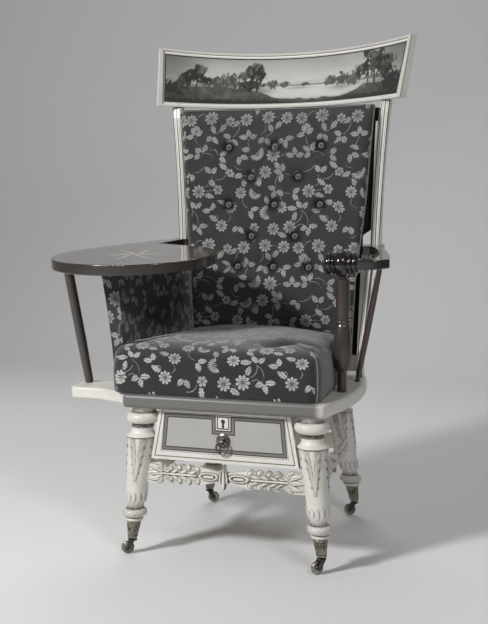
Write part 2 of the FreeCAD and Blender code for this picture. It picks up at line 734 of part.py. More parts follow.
def distance(start, end):
    """Length of a chord between two corners."""
    text = "sqrt((%s)^2 + (%s)^2)" % ((end[0] - start[0]).text, (end[1] - start[1]).text)
    return Size(math.dist([float(value) for value in start], [float(value) for value in end]), text)


def carved_rail(label, placement, half, high):
    """Board with its carving on the side that local -Y faces."""
    body = new_body(label, placement)
    tall = (high - S.rail_low) / 2
    middle = S.rail_low + tall

    def corner(x_share, z_share, side=1):
        return half * (x_share * side), middle + tall * z_share

    right = [(corner(x, z), bulge) for x, z, bulge in LOW_EDGE_SHARES + TOP_EDGE_SHARES]
    left = []
    for index in range(len(right) - 1, -1, -1):
        (x, z), past = right[index]
        bulge = right[index - 1][1] if index else None
        left.append(((-x, z), bulge))
    outline = []
    ring = right + left
    for index, (place, bulge) in enumerate(ring):
        outline.append(place)
        after = ring[(index + 1) % len(ring)][0]
        if bulge:
            outline.append(bend(distance(place, after) * bulge, 1))
    pad(body, label + "_board", "XZ_Plane", outline, S.rail_core, -S.rail_core / 2)

    face = S.rail_core / 2
    loops = []
    for flip in (1, -1):
        for x0, z0, x1, z1, outer, inner in LEAF_SHARES:
            root = corner(x0, z0 * flip)
            tip = corner(x1, z1 * flip)
            long = distance(root, tip)
            loops.append([root, bend(long * outer, -flip), tip, bend(long * inner, flip)])
    for x0, z0, x1, z1 in PALM_SHARES:
        root = corner(x0, z0)
        tip = corner(x1, z1)
        bow = distance(root, tip) * PALM_BOW_SHARE
        loops.append([root, bend(bow, 1), tip, bend(bow, 1)])
    x0, z0, x1, z1 = STEM_SHARES
    loops.append([corner(x0, -z0), corner(x1, -z1), corner(x1, z1), corner(x0, z0)])
    # the leaves start inside the board so that they are one with it
    leaves = pad(body, label + "_leaves", "XZ_Plane", loops[0], S.rail_relief + face, extra=loops[1:])
    mirror(body, label + "_leaves_mirrored", [leaves])
    for side in (1, -1):
        x, z = corner(SCROLL_SHARE, 0, side)
        centre = FreeCAD.Placement(vector(x, -face, z), FreeCAD.Rotation(Vector(1, 0, 0), 90))
        scroll = add_feature(body, "AdditiveTorus", "%s_scroll_%d" % (label, side + 1),
                             Radius1=S.scroll, Radius2=S.scroll_bead)
        scroll.Placement = centre
        eye = add_feature(body, "AdditiveCylinder", "%s_eye_%d" % (label, side + 1),
                          Radius=S.eye, Height=S.rail_relief)
        eye.Placement = centre
    doc.recompute()
    bow = arc_radius(tall, S.boss_half)
    tips = [(S.nil, middle - tall), bend(bow, 1), (S.nil, middle + tall), bend(bow, 1)]
    pad(body, label + "_boss", "XZ_Plane", tips, S.rail_core + S.boss_rise - S.boss_rim, -face)
    inner = tall - S.boss_rim * 2
    bow = arc_radius(inner, S.boss_half - S.boss_rim)
    hollow = [(S.nil, middle - inner), bend(bow, 1), (S.nil, middle + inner), bend(bow, 1)]
    pad(body, label + "_boss_rim", "XZ_Plane", tips, S.boss_rim, face + S.boss_rise - S.boss_rim,
        extra=[hollow])
    return body


def mirror(body, name, originals):
    """Mirror image of features across the body's own YZ plane."""
    feature = body.newObject("PartDesign::Mirrored", name)
    feature.Originals = originals
    plane = [item for item in body.Origin.OriginFeatures if item.Role == "YZ_Plane"][0]
    feature.MirrorPlane = (plane, [""])
    body.Tip = feature
    doc.recompute()
    return feature


def mortise(name, label, placement, half, side, thick, low, high):
    """Slot in a leg for one end of a stretcher."""
    start = half + S.gap - S.over if side > 0 else -(half + S.gap)
    corner = placement.multVec(vector(start, -(thick / 2 + S.gap), low - S.gap))
    box_cut(legs[name], label, S.over, thick + S.gap * 2, high - low + S.gap * 2,
            FreeCAD.Placement(corner, placement.Rotation))


def make_stretchers():
    front_half = leg_reach(S.front_foot_half, S.front_top_half, RAIL_MID) - RAIL_SINK
    front_y = leg_reach(S.front_foot_y, S.front_top_y, RAIL_MID)
    front = FreeCAD.Placement(vector(0, -front_y, 0), FreeCAD.Rotation())
    carved_rail("front_stretcher", front, front_half, S.rail_high)
    for side, name in ((-1, "front_left"), (1, "front_right")):
        mortise(name, name + "_front_mortise", front, front_half, side, S.rail_core, S.rail_low, S.rail_high)

    for side, word in ((1, "right"), (-1, "left")):
        ends = [leg_point(place + word, RAIL_MID) for place in ("front_", "back_")]
        ends = [Vector(end.x, end.y, 0) for end in ends]
        way = (ends[1] - ends[0]) * side
        turned = FreeCAD.Rotation(Vector(1, 0, 0), way)
        placement = FreeCAD.Placement((ends[0] + ends[1]) * 0.5, turned)
        half = fixed(way.Length / 2) - RAIL_SINK
        if side > 0:
            first = carved_rail(word + "_stretcher", placement, half, S.side_rail_high)
        else:
            twin = new_body(word + "_stretcher", placement)
            twin.BaseFeature = first
        for end, place in ((-side, "front_"), (side, "back_")):
            mortise(place + word, place + word + "_side_mortise", placement, half, end, S.rail_core,
                    S.rail_low, S.side_rail_high)

    back_half = leg_reach(S.back_foot_half, S.back_top_half, RAIL_MID) - RAIL_SINK
    back_y = leg_reach(S.back_foot_y, S.back_top_y, RAIL_MID)
    low = RAIL_MID - S.back_rail_tall / 2
    thick = S.back_rail_thick
    box_body("back_stretcher", (-back_half, back_y - thick / 2, low), (back_half * 2, thick, S.back_rail_tall))
    back = FreeCAD.Placement(vector(0, back_y, 0), FreeCAD.Rotation())
    for side, name in ((-1, "back_left"), (1, "back_right")):
        mortise(name, name + "_back_mortise", back, back_half, side, thick, low, low + S.back_rail_tall)


make_stretchers()


# Drawer case under the seat: a face frame that splays with the legs, two sides, a back and runners
def splay(low, high, low_half, high_half, height):
    return low_half + (high_half - low_half) * (height - low) / (high - low)


def face_half(height):
    return splay(S.face_low, S.drawer_top, S.face_low_half, S.face_top_half, height)


def opening_half(height):
    return splay(S.drawer_low, S.drawer_top, S.drawer_low_half, S.drawer_top_half, height)


def trapezium(half, low, high, inset):
    return [(-(half(low) - inset), low), (half(low) - inset, low),
            (half(high) - inset, high), (-(half(high) - inset), high)]


SEAT_LOW = S.seat_top - S.seat_thick
FACE_BACK = S.face_front - S.face_thick
BOX_LOW = S.drawer_low + S.floor_thick
BOX_HIGH = BOX_LOW + S.box_tall
BOX_BACK = S.box_long - FACE_BACK
FRONT_TOP = S.drawer_top - S.drawer_gap
LOCK_LOW = FRONT_TOP - S.lock_tall
BOLT_LOW = FRONT_TOP - S.gap - S.bolt_tall
BOLT_Y = -FACE_BACK - (S.lock_thick + S.bolt_thick) / 2


def make_case():
    frame = new_body("drawer_face_frame")
    pad(frame, "face_frame", "XZ_Plane", trapezium(face_half, S.face_low, SEAT_LOW, S.nil), S.face_thick,
        FACE_BACK, extra=[trapezium(opening_half, S.drawer_low, S.drawer_top, S.nil)])
    block_cut(frame, "bolt_slot", (-S.bolt_half - S.gap, BOLT_Y - S.gap, S.drawer_top - S.gap),
              ((S.bolt_half + S.gap) * 2, S.bolt_thick + S.gap * 2, SEAT_LOW - S.drawer_top + S.gap * 2))
    long = S.case_back + FACE_BACK
    tall = SEAT_LOW - S.case_low
    box_body("case_right_side", (S.case_half, -FACE_BACK, S.case_low), (S.case_thick, long, tall))
    box_body("case_left_side", (-S.case_half - S.case_thick, -FACE_BACK, S.case_low),
             (S.case_thick, long, tall))
    box_body("case_back", (-S.case_half, S.case_back - S.case_thick, S.case_low),
             (S.case_half * 2, S.case_thick, tall))
    runners = []
    for index, start in enumerate((S.case_half - S.runner_wide, -S.case_half)):
        runner = doc.addObject("Part::Box", "runner_%d" % index)
        sizes = (("Length", S.runner_wide), ("Width", long - S.case_thick), ("Height", S.runner_tall),
                 ("Placement.Base.x", start), ("Placement.Base.y", -FACE_BACK),
                 ("Placement.Base.z", BOX_LOW - S.run_gap - S.runner_tall))
        for key, size in sizes:
            runner.setExpression(key, size.text)
        runners.append(runner)
    new_group("drawer_runners", runners)


def make_drawer():
    front = new_body("drawer_front")
    pad(front, "front_board", "XZ_Plane", trapezium(opening_half, S.drawer_low + S.drawer_gap, FRONT_TOP,
                                                    S.drawer_gap), S.drawer_thick, FACE_BACK)
    block_cut(front, "lock_recess", (-S.lock_half - S.gap, -FACE_BACK - S.lock_thick - S.gap, LOCK_LOW - S.gap),
              ((S.lock_half + S.gap) * 2, S.lock_thick + S.gap * 2, S.lock_tall + S.gap * 2))
    floor_z = BOX_LOW + S.floor_up
    floor_half = S.box_half - S.box_thick + S.groove
    block_cut(front, "floor_groove", (-floor_half - S.gap, -FACE_BACK - S.groove - S.gap, floor_z - S.gap),
              ((floor_half + S.gap) * 2, S.groove + S.gap * 2, S.floor_thick + S.gap * 2))
    through = vector(0, -S.face_front - S.gap, S.plate_mid_high)
    bore(front, "keyhole", S.key_round, S.drawer_thick + S.gap * 2, forward(through))
    block_cut(front, "key_slot", (-S.key_slot_half, -S.face_front - S.gap, S.plate_mid_high - S.key_slot),
              (S.key_slot_half * 2, S.drawer_thick + S.gap * 2, S.key_slot))
    bore(front, "spigot_bore", S.spigot + S.gap, S.spigot_long + S.gap * 2,
         forward(vector(0, -S.face_front - S.gap, S.pull_high)))

    for side, word in ((1, "right"), (-1, "left")):
        start = S.box_half - S.box_thick if side > 0 else -S.box_half
        body = box_body("drawer_%s_side" % word, (start, -FACE_BACK, BOX_LOW),
                        (S.box_thick, S.box_long, S.box_tall))
        groove = S.box_half - S.box_thick - S.gap if side > 0 else -floor_half - S.gap
        block_cut(body, "side_groove_" + word, (groove, -FACE_BACK - S.gap, floor_z - S.gap),
                  (S.groove + S.gap * 2, S.box_long + S.gap * 2, S.floor_thick + S.gap * 2))
    inner = S.box_half - S.box_thick
    back_low = floor_z + S.floor_thick + S.gap
    box_body("drawer_back", (-inner, BOX_BACK - S.box_thick, back_low),
             (inner * 2, S.box_thick, BOX_HIGH - back_low))
    box_body("drawer_floor", (-floor_half, -FACE_BACK - S.groove, floor_z),
             (floor_half * 2, S.box_long + S.groove, S.floor_thick))


def forward(place):
    """Placement at a point whose Z axis points to the back of the chair."""
    return FreeCAD.Placement(place, FreeCAD.Rotation(Vector(1, 0, 0), -90))


def make_lock():
    plate = new_body("keyhole_plate")
    low = S.plate_mid_high - S.plate_half
    high = S.plate_mid_high + S.plate_half
    pad(plate, "plate", "XZ_Plane",
        [(-S.plate_half, low), (S.plate_half, low), (S.plate_half, high), (-S.plate_half, high)],
        S.plate_thick, S.face_front)
    start = vector(0, -S.face_front - S.plate_thick - S.gap, S.plate_mid_high)
    bore(plate, "plate_keyhole", S.key_round, S.plate_thick + S.gap * 2, forward(start))
    block_cut(plate, "plate_slot", (-S.key_slot_half, -S.face_front - S.plate_thick - S.gap,
                                    S.plate_mid_high - S.key_slot),
              (S.key_slot_half * 2, S.plate_thick + S.gap * 2, S.key_slot))

    case = box_body("lock_case", (-S.lock_half, -FACE_BACK - S.lock_thick, LOCK_LOW),
                    (S.lock_half * 2, S.lock_thick, S.lock_tall))
    block_cut(case, "bolt_way", (-S.bolt_half - S.run_gap, BOLT_Y - S.run_gap, BOLT_LOW - S.gap),
              ((S.bolt_half + S.run_gap) * 2, S.bolt_thick + S.run_gap * 2, S.bolt_tall + S.gap * 3))
    box_body("lock_bolt", (-S.bolt_half, BOLT_Y, BOLT_LOW), (S.bolt_half * 2, S.bolt_thick, S.bolt_tall))


PULL_PIVOT = (S.nil, -S.face_front - S.lug_out, S.pull_high)


def make_pull():
    start = vector(0, -S.face_front, S.pull_high)
    body = new_body("pull_rosette", FreeCAD.Placement(start, FreeCAD.Rotation(Vector(1, 0, 0), 90)))
    turn(body, "rosette", [
        (S.nil, -S.spigot_long),
        (S.spigot, -S.spigot_long),
        (S.spigot, S.nil),
        (S.rosette, S.nil),
        (S.rosette, S.rosette_rim),
        bend(S.rosette, 1),
        (S.lug_nose, S.rosette_thick),
        (S.nil, S.rosette_thick),
    ])
    # local Z points to the front, local Y up
    lug = add_feature(body, "AdditiveBox", "lug", Length=S.lug_half * 2, Width=S.lug_nose * 2, Height=S.lug_out)
    lug.Placement = FreeCAD.Placement(vector(-S.lug_half, -S.lug_nose, 0), FreeCAD.Rotation())
    nose = add_feature(body, "AdditiveCylinder", "lug_nose", Radius=S.lug_nose, Height=S.lug_half * 2)
    across = FreeCAD.Rotation(Vector(0, 1, 0), 90)
    nose.Placement = FreeCAD.Placement(vector(-S.lug_half, 0, S.lug_out), across)
    doc.recompute()
    eye = FreeCAD.Placement(vector(-S.lug_half - S.gap, PULL_PIVOT[1], PULL_PIVOT[2]), across)
    bore(body, "lug_eye", S.ring_eye, (S.lug_half + S.gap) * 2, eye)

    low = vector(0, PULL_PIVOT[1], S.pull_high - S.ring_mid)
    ring = new_body("pull_ring", forward(low))
    add_feature(ring, "AdditiveTorus", "ring", Radius1=S.ring_mid, Radius2=S.ring_wire)


make_case()
make_drawer()
make_lock()
make_pull()


# Back posts: the lower ones stand in the seat, the upper ones on the arms
def arm_thick(side):
    return S.board_thick if side < 0 else S.arm_thick


def arm_top(side):
    return S.left_arm_top if side < 0 else S.right_arm_top


SIDES = ((-1, "left"), (1, "right"))


def make_lower_post(side, word):
    under = arm_height(arm_top(side), arm_thick(side), S.arm_root_y)
    rise = under - float(S.seat_top)
    run = float(S.arm_root_y - S.low_post_foot_y)
    tall = fixed(math.hypot(rise, run)) + S.post_trim
    lean = FreeCAD.Rotation(Vector(1, 0, 0), -math.degrees(math.atan2(run, rise)))
    body = new_body(word + "_lower_post", FreeCAD.Placement(vector(0, S.low_post_foot_y, S.seat_top), lean))
    pad(body, word + "_lower_board", "XZ_Plane", [
        (S.low_post_in * side, -S.low_post_let_in),
        (S.low_post_foot * side, -S.low_post_let_in),
        (S.low_post_foot * side, S.nil),
        bend(S.low_post_bow, -side),
        (S.low_post_head * side, tall),
        (S.low_post_in_head * side, tall),
        (S.low_post_in * side, S.nil),
    ], S.low_post_deep, back=True)
    arm = arm_frame(arm_top(side))
    wide = S.low_post_head + S.over
    start = -S.over if side > 0 else -wide
    cut = arm.multVec(vector(start, -S.over, -arm_thick(side)))
    box_cut(body, word + "_arm_seat", wide + S.over, S.over * 3, S.over, FreeCAD.Placement(cut, arm.Rotation))
    return body


def housing(word, side):
    """Slot in the seat for the foot of a lower post."""
    post = posts[word].Placement
    start = S.low_post_in - S.gap if side > 0 else -S.low_post_foot - S.gap
    place = post.multVec(vector(start, -S.gap, -S.low_post_let_in - S.gap))
    box_cut(seat, word + "_post_housing", S.low_post_foot - S.low_post_in + S.gap * 2,
            S.low_post_deep + S.gap * 2, S.over, FreeCAD.Placement(place, post.Rotation))


def crest_low_at(x):
    """Height of the crest's lower edge out to the side."""
    return S.crest_low_mid + S.crest_low_rise * (x * x) / (CREST_WIDE * CREST_WIDE)


CREST_WIDE = S.crest_half_top + S.crest_thick


def make_upper_post(side, word):
    top = arm_top(side)
    lean = FreeCAD.Rotation(Vector(1, 0, 0), -float(S.high_post_lean))
    foot = vector(0, S.arm_root_y, top)
    body = new_body(word + "_upper_post", FreeCAD.Placement(foot, lean))
    inner = S.high_post_head - S.high_post_wide
    tall = crest_low_at(inner) - S.gap - top
    pad(body, word + "_upper_board", "XZ_Plane", [
        ((S.high_post_foot - S.high_post_wide) * side, -S.post_trim),
        (S.high_post_foot * side, -S.post_trim),
        bend(S.high_post_bow, -side),
        (S.high_post_head * side, tall),
        (inner * side, tall),
        bend(S.high_post_bow, side),
    ], S.high_post_deep, back=True)
    round_edges(body, word + "_upper_edges", S.post_edge,
                lambda edge: abs(edge.BoundBox.ZLength - float(tall + S.post_trim)) < float(S.post_trim))
    middle = S.high_post_head - S.high_post_wide / 2
    pad(body, word + "_head_tenon", "XZ_Plane", [
        (middle * side - S.head_tenon_half, tall - S.post_trim),
        (middle * side + S.head_tenon_half, tall - S.post_trim),
        (middle * side + S.head_tenon_half, tall + S.head_tenon_tall),
        (middle * side - S.head_tenon_half, tall + S.head_tenon_tall),
    ], S.head_tenon_thick, -S.head_tenon_in, back=True)
    arm = arm_frame(top)
    wide = S.high_post_head + S.over
    start = -S.over if side > 0 else -wide
    cut = arm.multVec(vector(start, -S.over, -S.over))
    box_cut(body, word + "_post_seat", wide + S.over, S.over * 3, S.over, FreeCAD.Placement(cut, arm.Rotation))
    slot = (middle * side - S.head_tenon_half - S.gap, S.head_tenon_in - S.gap, tall - S.post_trim)
    return body, slot


seat = [body for body in pieces if body.Label == "seat_board"][0]
posts = {}
tenon_slots = {}
for side, word in SIDES:
    posts[word] = make_lower_post(side, word)
    housing(word, side)
uppers = {}
for side, word in SIDES:
    uppers[word], tenon_slots[word] = make_upper_post(side, word)


# Crest: a board bent in plan and leaning back, with a bead round its painted face
def bow_radius(half, sag):
    return arc_radius(half, sag)


def offset_corner(half, end_y, sag, out):
    """End of the band's front arc, moved out by so much from the arc's centre."""
    radius = bow_radius(half, sag)
    return half + half * out / radius, end_y + (radius - sag) * out / radius


def bent_section(body, name, height, half, end_y, sag, front, back, square=False):
    """Plan of a bent board at a height, between two offsets from its front arc."""
    radius = bow_radius(half, sag)
    x0, y0 = offset_corner(half, end_y, sag, front)
    x1, y1 = offset_corner(half, end_y, sag, back)
    if square:
        x1 = x0
    outline = [(-x0, y0), bend(radius + front, -1), (x0, y0), (x1, y1), bend(radius + back, 1), (-x1, y1)]
    return draw(body, name, "XY_Plane", outline, height)


def crest_sections(body, name, front, back):
    return [bent_section(body, name + "_low", S.crest_low, S.crest_half, S.crest_end_y, S.crest_sag, front, back),
            bent_section(body, name + "_high", S.crest_high, S.crest_half_top, S.crest_end_y_top,
                         S.crest_sag_top, front, back)]


def trim_crest(body, name):
    """Cuts the hollow upper and lower edges."""
    wide = CREST_WIDE
    low = S.crest_low_mid + S.crest_low_rise
    high = S.crest_high_mid + S.crest_high_rise
    pocket_through(body, name + "_lower_edge", "XZ_Plane", [
        (-wide, S.crest_low - S.over), (wide, S.crest_low - S.over), (wide, low),
        bend(arc_radius(wide, S.crest_low_rise), -1), (-wide, low)])
    pocket_through(body, name + "_upper_edge", "XZ_Plane", [
        (-wide, high), bend(arc_radius(wide, S.crest_high_rise), 1), (wide, high),
        (wide, S.crest_high + S.over), (-wide, S.crest_high + S.over)])


def make_crest():
    crest = new_body("crest_board")
    loft(crest, "crest_blank", crest_sections(crest, "crest", S.nil, S.crest_thick), ruled=True)
    trim_crest(crest, "crest")
    for side, word in SIDES:
        x, y, z = tenon_slots[word]
        post = uppers[word].Placement
        box_cut(crest, word + "_mortise", (S.head_tenon_half + S.gap) * 2, S.head_tenon_thick + S.gap * 2,
                S.head_tenon_tall + S.post_trim + S.gap, FreeCAD.Placement(post.multVec(vector(x, y, z)),
                                                                           post.Rotation))
    bead = new_body("crest_moulding")
    loft(bead, "bead_blank", crest_sections(bead, "bead", -(S.gap + S.bead_out), -S.gap), ruled=True)
    trim_crest(bead, "bead")
    rim = S.bead_wide
    low_x = S.crest_half - rim - S.bead_out
    high_x = S.crest_half_top - rim - S.bead_out
    low = S.crest_low_mid + S.crest_low_rise * (low_x * low_x) / (CREST_WIDE * CREST_WIDE) + rim
    high = S.crest_high_mid + S.crest_high_rise * (high_x * high_x) / (CREST_WIDE * CREST_WIDE) - rim
    pocket_through(bead, "bead_window", "XZ_Plane", [
        (-low_x, low), bend(arc_radius(CREST_WIDE, S.crest_low_rise), 1), (low_x, low), (high_x, high),
        bend(arc_radius(CREST_WIDE, S.crest_high_rise), -1), (-high_x, high)])
    return crest


crest = make_crest()


# Back frame: three bent rails behind the pad, and the cover behind them
def post_inner(height):
    """Inner face of the upper posts at a height, the nearer of the two."""
    share = (height - float(S.right_arm_top)) / (float(S.crest_low_mid) - float(S.right_arm_top))
    foot = float(S.high_post_foot - S.high_post_wide)
    head = float(S.high_post_head - S.high_post_wide)
    half_chord = (float(S.crest_low_mid) - float(S.right_arm_top)) / 2
    bow = half_chord ** 2 / (2 * float(S.high_post_bow))
    return foot + (head - foot) * share - bow * (1 - (2 * share - 1) ** 2)


def rail_body(label, low, high, low_half, high_half, low_y, high_y):
    body = new_body(label)
    sections = [bent_section(body, label + "_low", low, low_half, low_y, S.frame_sag, S.nil,
                             S.frame_thick, True),
                bent_section(body, label + "_high", high, high_half, high_y, S.frame_sag, S.nil,
                             S.frame_thick, True)]
    return loft(body, label + "_bent", sections, ruled=True)


PAD_BACK = S.arm_root_y + S.gap * 4


def make_back_frame():
    gap = S.gap
    top_low = fixed(post_inner(float(S.top_rail_low))) - gap * 3
    top_high = fixed(post_inner(float(S.top_rail_high))) - gap * 3
    rail_body("top_back_rail", S.top_rail_low, S.top_rail_high, top_low, top_high, PAD_BACK, PAD_BACK)
    half = S.arm_end_in - gap
    rail_body("arm_back_rail", S.arm_rail_low, S.arm_rail_high, half, half, PAD_BACK, PAD_BACK)
    half = S.low_post_in - gap
    rail_body("low_back_rail", S.low_rail_low, S.low_rail_high, half, half, S.low_rail_y, S.low_rail_y)

    cover = new_body("back_cover")
    back = PAD_BACK + S.frame_thick + gap
    low_back = S.low_rail_y + S.frame_thick + gap
    low_half = S.low_post_in - S.soft_gap
    arm_half = S.arm_end_in - S.soft_gap
    high_half = S.high_post_foot - S.high_post_wide - S.soft_gap * 2
    places = [(S.low_rail_low, low_half, low_back), (S.low_rail_high, low_half, low_back),
              (S.arm_rail_low, arm_half, back), (S.cover_step_low, arm_half, back),
              (S.cover_step_high, high_half, back), (S.top_rail_high, top_high - S.soft_gap * 2, back)]
    sections = [bent_section(cover, "cover_%d" % index, height, half, y, S.frame_sag, S.nil, S.cover_thick, True)
                for index, (height, half, y) in enumerate(places)]
    loft(cover, "cover_sheet", sections, ruled=True)


make_back_frame()


# Tufted back pad. Shares: height, half width, depth of the front at the middle and at the edges, and back
PAD_SHARES = [
    (0.000, 0.812, 0.135, 0.054, 0.514),
    (0.130, 0.830, 0.108, 0.000, 0.568),
    (0.292, 0.852, 0.189, 0.000, 0.649),
    (0.341, 0.858, 0.351, 0.108, 0.662),
    (0.401, 0.862, 0.243, 0.000, 0.676),
    (0.617, 0.900, 0.405, 0.081, 0.703),
    (0.838, 0.943, 0.459, 0.135, 0.703),
    (0.960, 0.987, 0.595, 0.243, 0.703),
    (1.000, 1.000, 0.865, 0.459, 0.703),
]
# Buttons: height share of the pad, place across as a share of its half width
BUTTON_SHARES = [
    (0.838, -0.480), (0.838, 0.0), (0.838, 0.480),
    (0.713, -0.245), (0.713, 0.245),
    (0.599, -0.476), (0.599, 0.0), (0.599, 0.476),
    (0.469, -0.227), (0.469, 0.227),
    (0.341, -0.371), (0.341, 0.0), (0.341, 0.371),
]


def pad_section(body, index, shares):
    high, wide, middle, edge, back = shares
    height = S.pad_low + (S.pad_high - S.pad_low) * high
    half = S.pad_half * wide
    edge_y = S.pad_front + S.pad_deep * edge
    back_y = S.pad_front + S.pad_deep * back
    hollow = S.pad_deep * (middle - edge)
    round_half = half - S.pad_corner
    front = bow_radius(round_half, hollow)
    corner = S.pad_corner * ROUND_SHARE
    outline = [
        (-round_half, edge_y), bend(front, -1),
        (round_half, edge_y), bend(corner, 1),
        (half, edge_y + S.pad_corner),
        (half, back_y), bend(bow_radius(half, S.pad_sag), 1),
        (-half, back_y),
        (-half, edge_y + S.pad_corner), bend(corner, 1),
    ]
    return draw(body, "pad_section_%d" % index, "XY_Plane", outline, height)


def pad_front_at(high, across):
    """Depth of the pad's front at a height share and a place across."""
    for low, top in zip(PAD_SHARES, PAD_SHARES[1:]):
        if low[0] <= high <= top[0]:
            share = (high - low[0]) / (top[0] - low[0])
            wide, middle, edge = (low[i] + (top[i] - low[i]) * share for i in (1, 2, 3))
            out = across / wide
            return S.pad_front + S.pad_deep * (edge + (middle - edge) * (1 - out * out))
    raise ValueError("height share outside the pad")


def make_back_pad():
    body = new_body("back_pad")
    loft(body, "pad_form", [pad_section(body, *item) for item in enumerate(PAD_SHARES)], ruled=True)
    buttons = []
    for index, (high, across) in enumerate(BUTTON_SHARES):
        x = S.pad_half * across
        y = pad_front_at(high, across)
        z = S.pad_low + (S.pad_high - S.pad_low) * high
        before = body.Shape.Volume
        tuft = add_feature(body, "SubtractiveCone", "tuft_%d" % index, Radius1=S.tuft_round,
                           Radius2=S.tuft_root, Height=S.tuft_deep + S.tuft_mouth)
        tuft.Placement = forward(vector(x, y - S.tuft_mouth, z))
        doc.recompute()
        if body.Shape.Volume >= before:
            raise ValueError("a tuft cuts nothing")
        button = doc.addObject("Part::Cylinder", "button_%d" % index)
        button.setExpression("Radius", S.button.text)
        button.setExpression("Height", S.button_thick.text)
        button.Placement = forward(vector(x, y + S.tuft_deep - S.gap - S.button_thick, z))
        buttons.append(button)
    new_group("back_buttons", buttons)


make_back_pad()


# Seat cushion. Shares: height, and how far in the edge lies (less than zero swells out)
CUSHION_SHARES = [(0.0, 0.0), (0.33, -0.027), (0.72, 0.0), (0.86, 0.16), (0.94, 0.55), (1.0, 1.0)]


def make_cushion():
    body = new_body("seat_cushion")
    sections = []
    for index, (high, inset_share) in enumerate(CUSHION_SHARES):
        inset = S.cushion_crown_in * inset_share
        height = S.seat_top + S.gap + S.cushion_tall * high
        front = -S.cushion_front + inset
        back = S.cushion_back - inset
        left, right = -S.cushion_left + inset, S.cushion_right - inset
        back_left, back_right = -S.cushion_back_left + inset, S.cushion_back_right - inset
        r = S.cushion_corner
        bow = r * ROUND_SHARE
        outline = [
            (left + r, front), (right - r, front), bend(bow, 1), (right, front + r),
            (back_right, back - r), bend(bow, 1), (back_right - r, back),
            (back_left + r, back), bend(bow, 1), (back_left, back - r),
            (left, front + r), bend(bow, 1),
        ]
        sections.append(draw(body, "cushion_%d" % index, "XY_Plane", outline, height))
    loft(body, "cushion_form", sections, ruled=True)


make_cushion()


# Upholstered panel that closes the side under the writing board. Shares: place along, shift inwards
PANEL_SHARES = [(0.0, 0.0), (0.37, 0.37), (0.73, 0.73), (1.0, 1.0)]


def make_side_panel():
    body = new_body("side_panel")
    sections = []
    for index, (along_share, shift_share) in enumerate(PANEL_SHARES):
        y = -S.panel_front + (S.panel_front + S.panel_back) * along_share
        shift = S.panel_back_shift * shift_share
        top = fixed(arm_height(S.left_arm_top, S.board_thick, y)) - S.gap
        high_out = -S.panel_high_out + (S.panel_high_out - S.panel_back_high_out) * shift_share
        high_in = -S.panel_high_in + (S.panel_high_in - S.panel_back_high_in) * shift_share
        outline = [
            (-S.panel_low_out + shift, S.seat_top + S.gap),
            (-S.panel_low_in + shift, S.seat_top + S.gap), bend(S.panel_bow, 1),
            (-S.panel_swell_in + shift, S.panel_swell_high), bend(S.panel_bow, 1),
            (high_in, top),
            (high_out, top), bend(S.panel_bow * 2, -1),
        ]
        sections.append(draw(body, "panel_section_%d" % index, "XZ_Plane", outline, -y))
    loft(body, "panel_form", sections, ruled=True)


make_side_panel()


# Writing board with its star inlay
def round_y(x):
    """Local Y, nearer the chair's back, of the round end at a local X."""
    out = S.board_mid_x - x
    return Size(-float(S.board_mid_y) + math.sqrt(float(S.board_round) ** 2 - float(out) ** 2),
                "(sqrt((%s)^2 - (%s)^2) - %s)" % (S.board_round.text, out.text, S.board_mid_y.text))


STAR_POINTS = 8


def star_outline(shrink):
    corners = []
    for index in range(STAR_POINTS * 2):
        turned = math.pi * index / STAR_POINTS
        reach = S.star_root - shrink if index % 2 else S.star_tip - shrink * STAR_POINTS
        corners.append((reach * math.cos(turned) - S.board_mid_x, reach * math.sin(turned) - S.board_mid_y))
    return corners


def board_bow():
    """Radius of the outer edge that leaves the round end smoothly and meets the neck."""
    x, y = S.board_join_x - S.arm_end_out, -S.board_neck_y - round_y(S.board_join_x)
    in_x, in_y = S.board_join_x - S.board_mid_x, -S.board_mid_y - round_y(S.board_join_x)
    return (x * x + y * y) * S.board_round / ((x * in_x + y * in_y) * 2)


def make_writing_board():
    frame = arm_frame(S.left_arm_top)
    body = new_body("writing_board", frame)
    pad(body, "writing_surface", "XY_Plane", [
        (-S.notch_x, -S.notch_y),
        (-S.board_in_x, round_y(S.board_in_x)), bend(S.board_round, -1),
        (-S.board_mid_x, -S.board_mid_y - S.board_round), bend(S.board_round, -1),
        (-S.board_join_x, round_y(S.board_join_x)), bend(board_bow(), -1),
        (-S.arm_end_out, -S.board_neck_y),
        (-S.arm_end_out, S.arm_end_back),
        (-S.arm_end_in, S.arm_end_back),
        (-S.arm_end_in, -S.arm_end_front),
        (-S.notch_in, -S.arm_end_front),
    ], S.board_thick, -S.board_thick)
    round_edges(body, "board_edges", S.board_edge,
                lambda edge: (level_at(S.nil)(edge) or level_at(-S.board_thick)(edge))
                and any(near_x(vertex, -S.board_mid_x) for vertex in edge.Vertexes))
    before = body.Shape.Volume
    recess = draw(body, "star_recess_outline", "XY_Plane", star_outline(S.nil))
    add_feature(body, "Pocket", "star_recess", Profile=recess, Length=S.star_deep)
    if body.Shape.Volume >= before:
        raise ValueError("the star recess cuts nothing")
    start, end = POSTS["writing_board_post"]
    way = (end - start).normalize()
    bore(body, "board_post_socket", S.post_tenon + S.gap, S.post_into + S.over,
         along(end - way * float(S.over) + way * float(S.gap), end + way))

    star = new_body("star_inlay", frame)
    pad(star, "star", "XY_Plane", star_outline(S.star_gap), S.star_deep - S.gap, -(S.star_deep - S.gap))
    return body


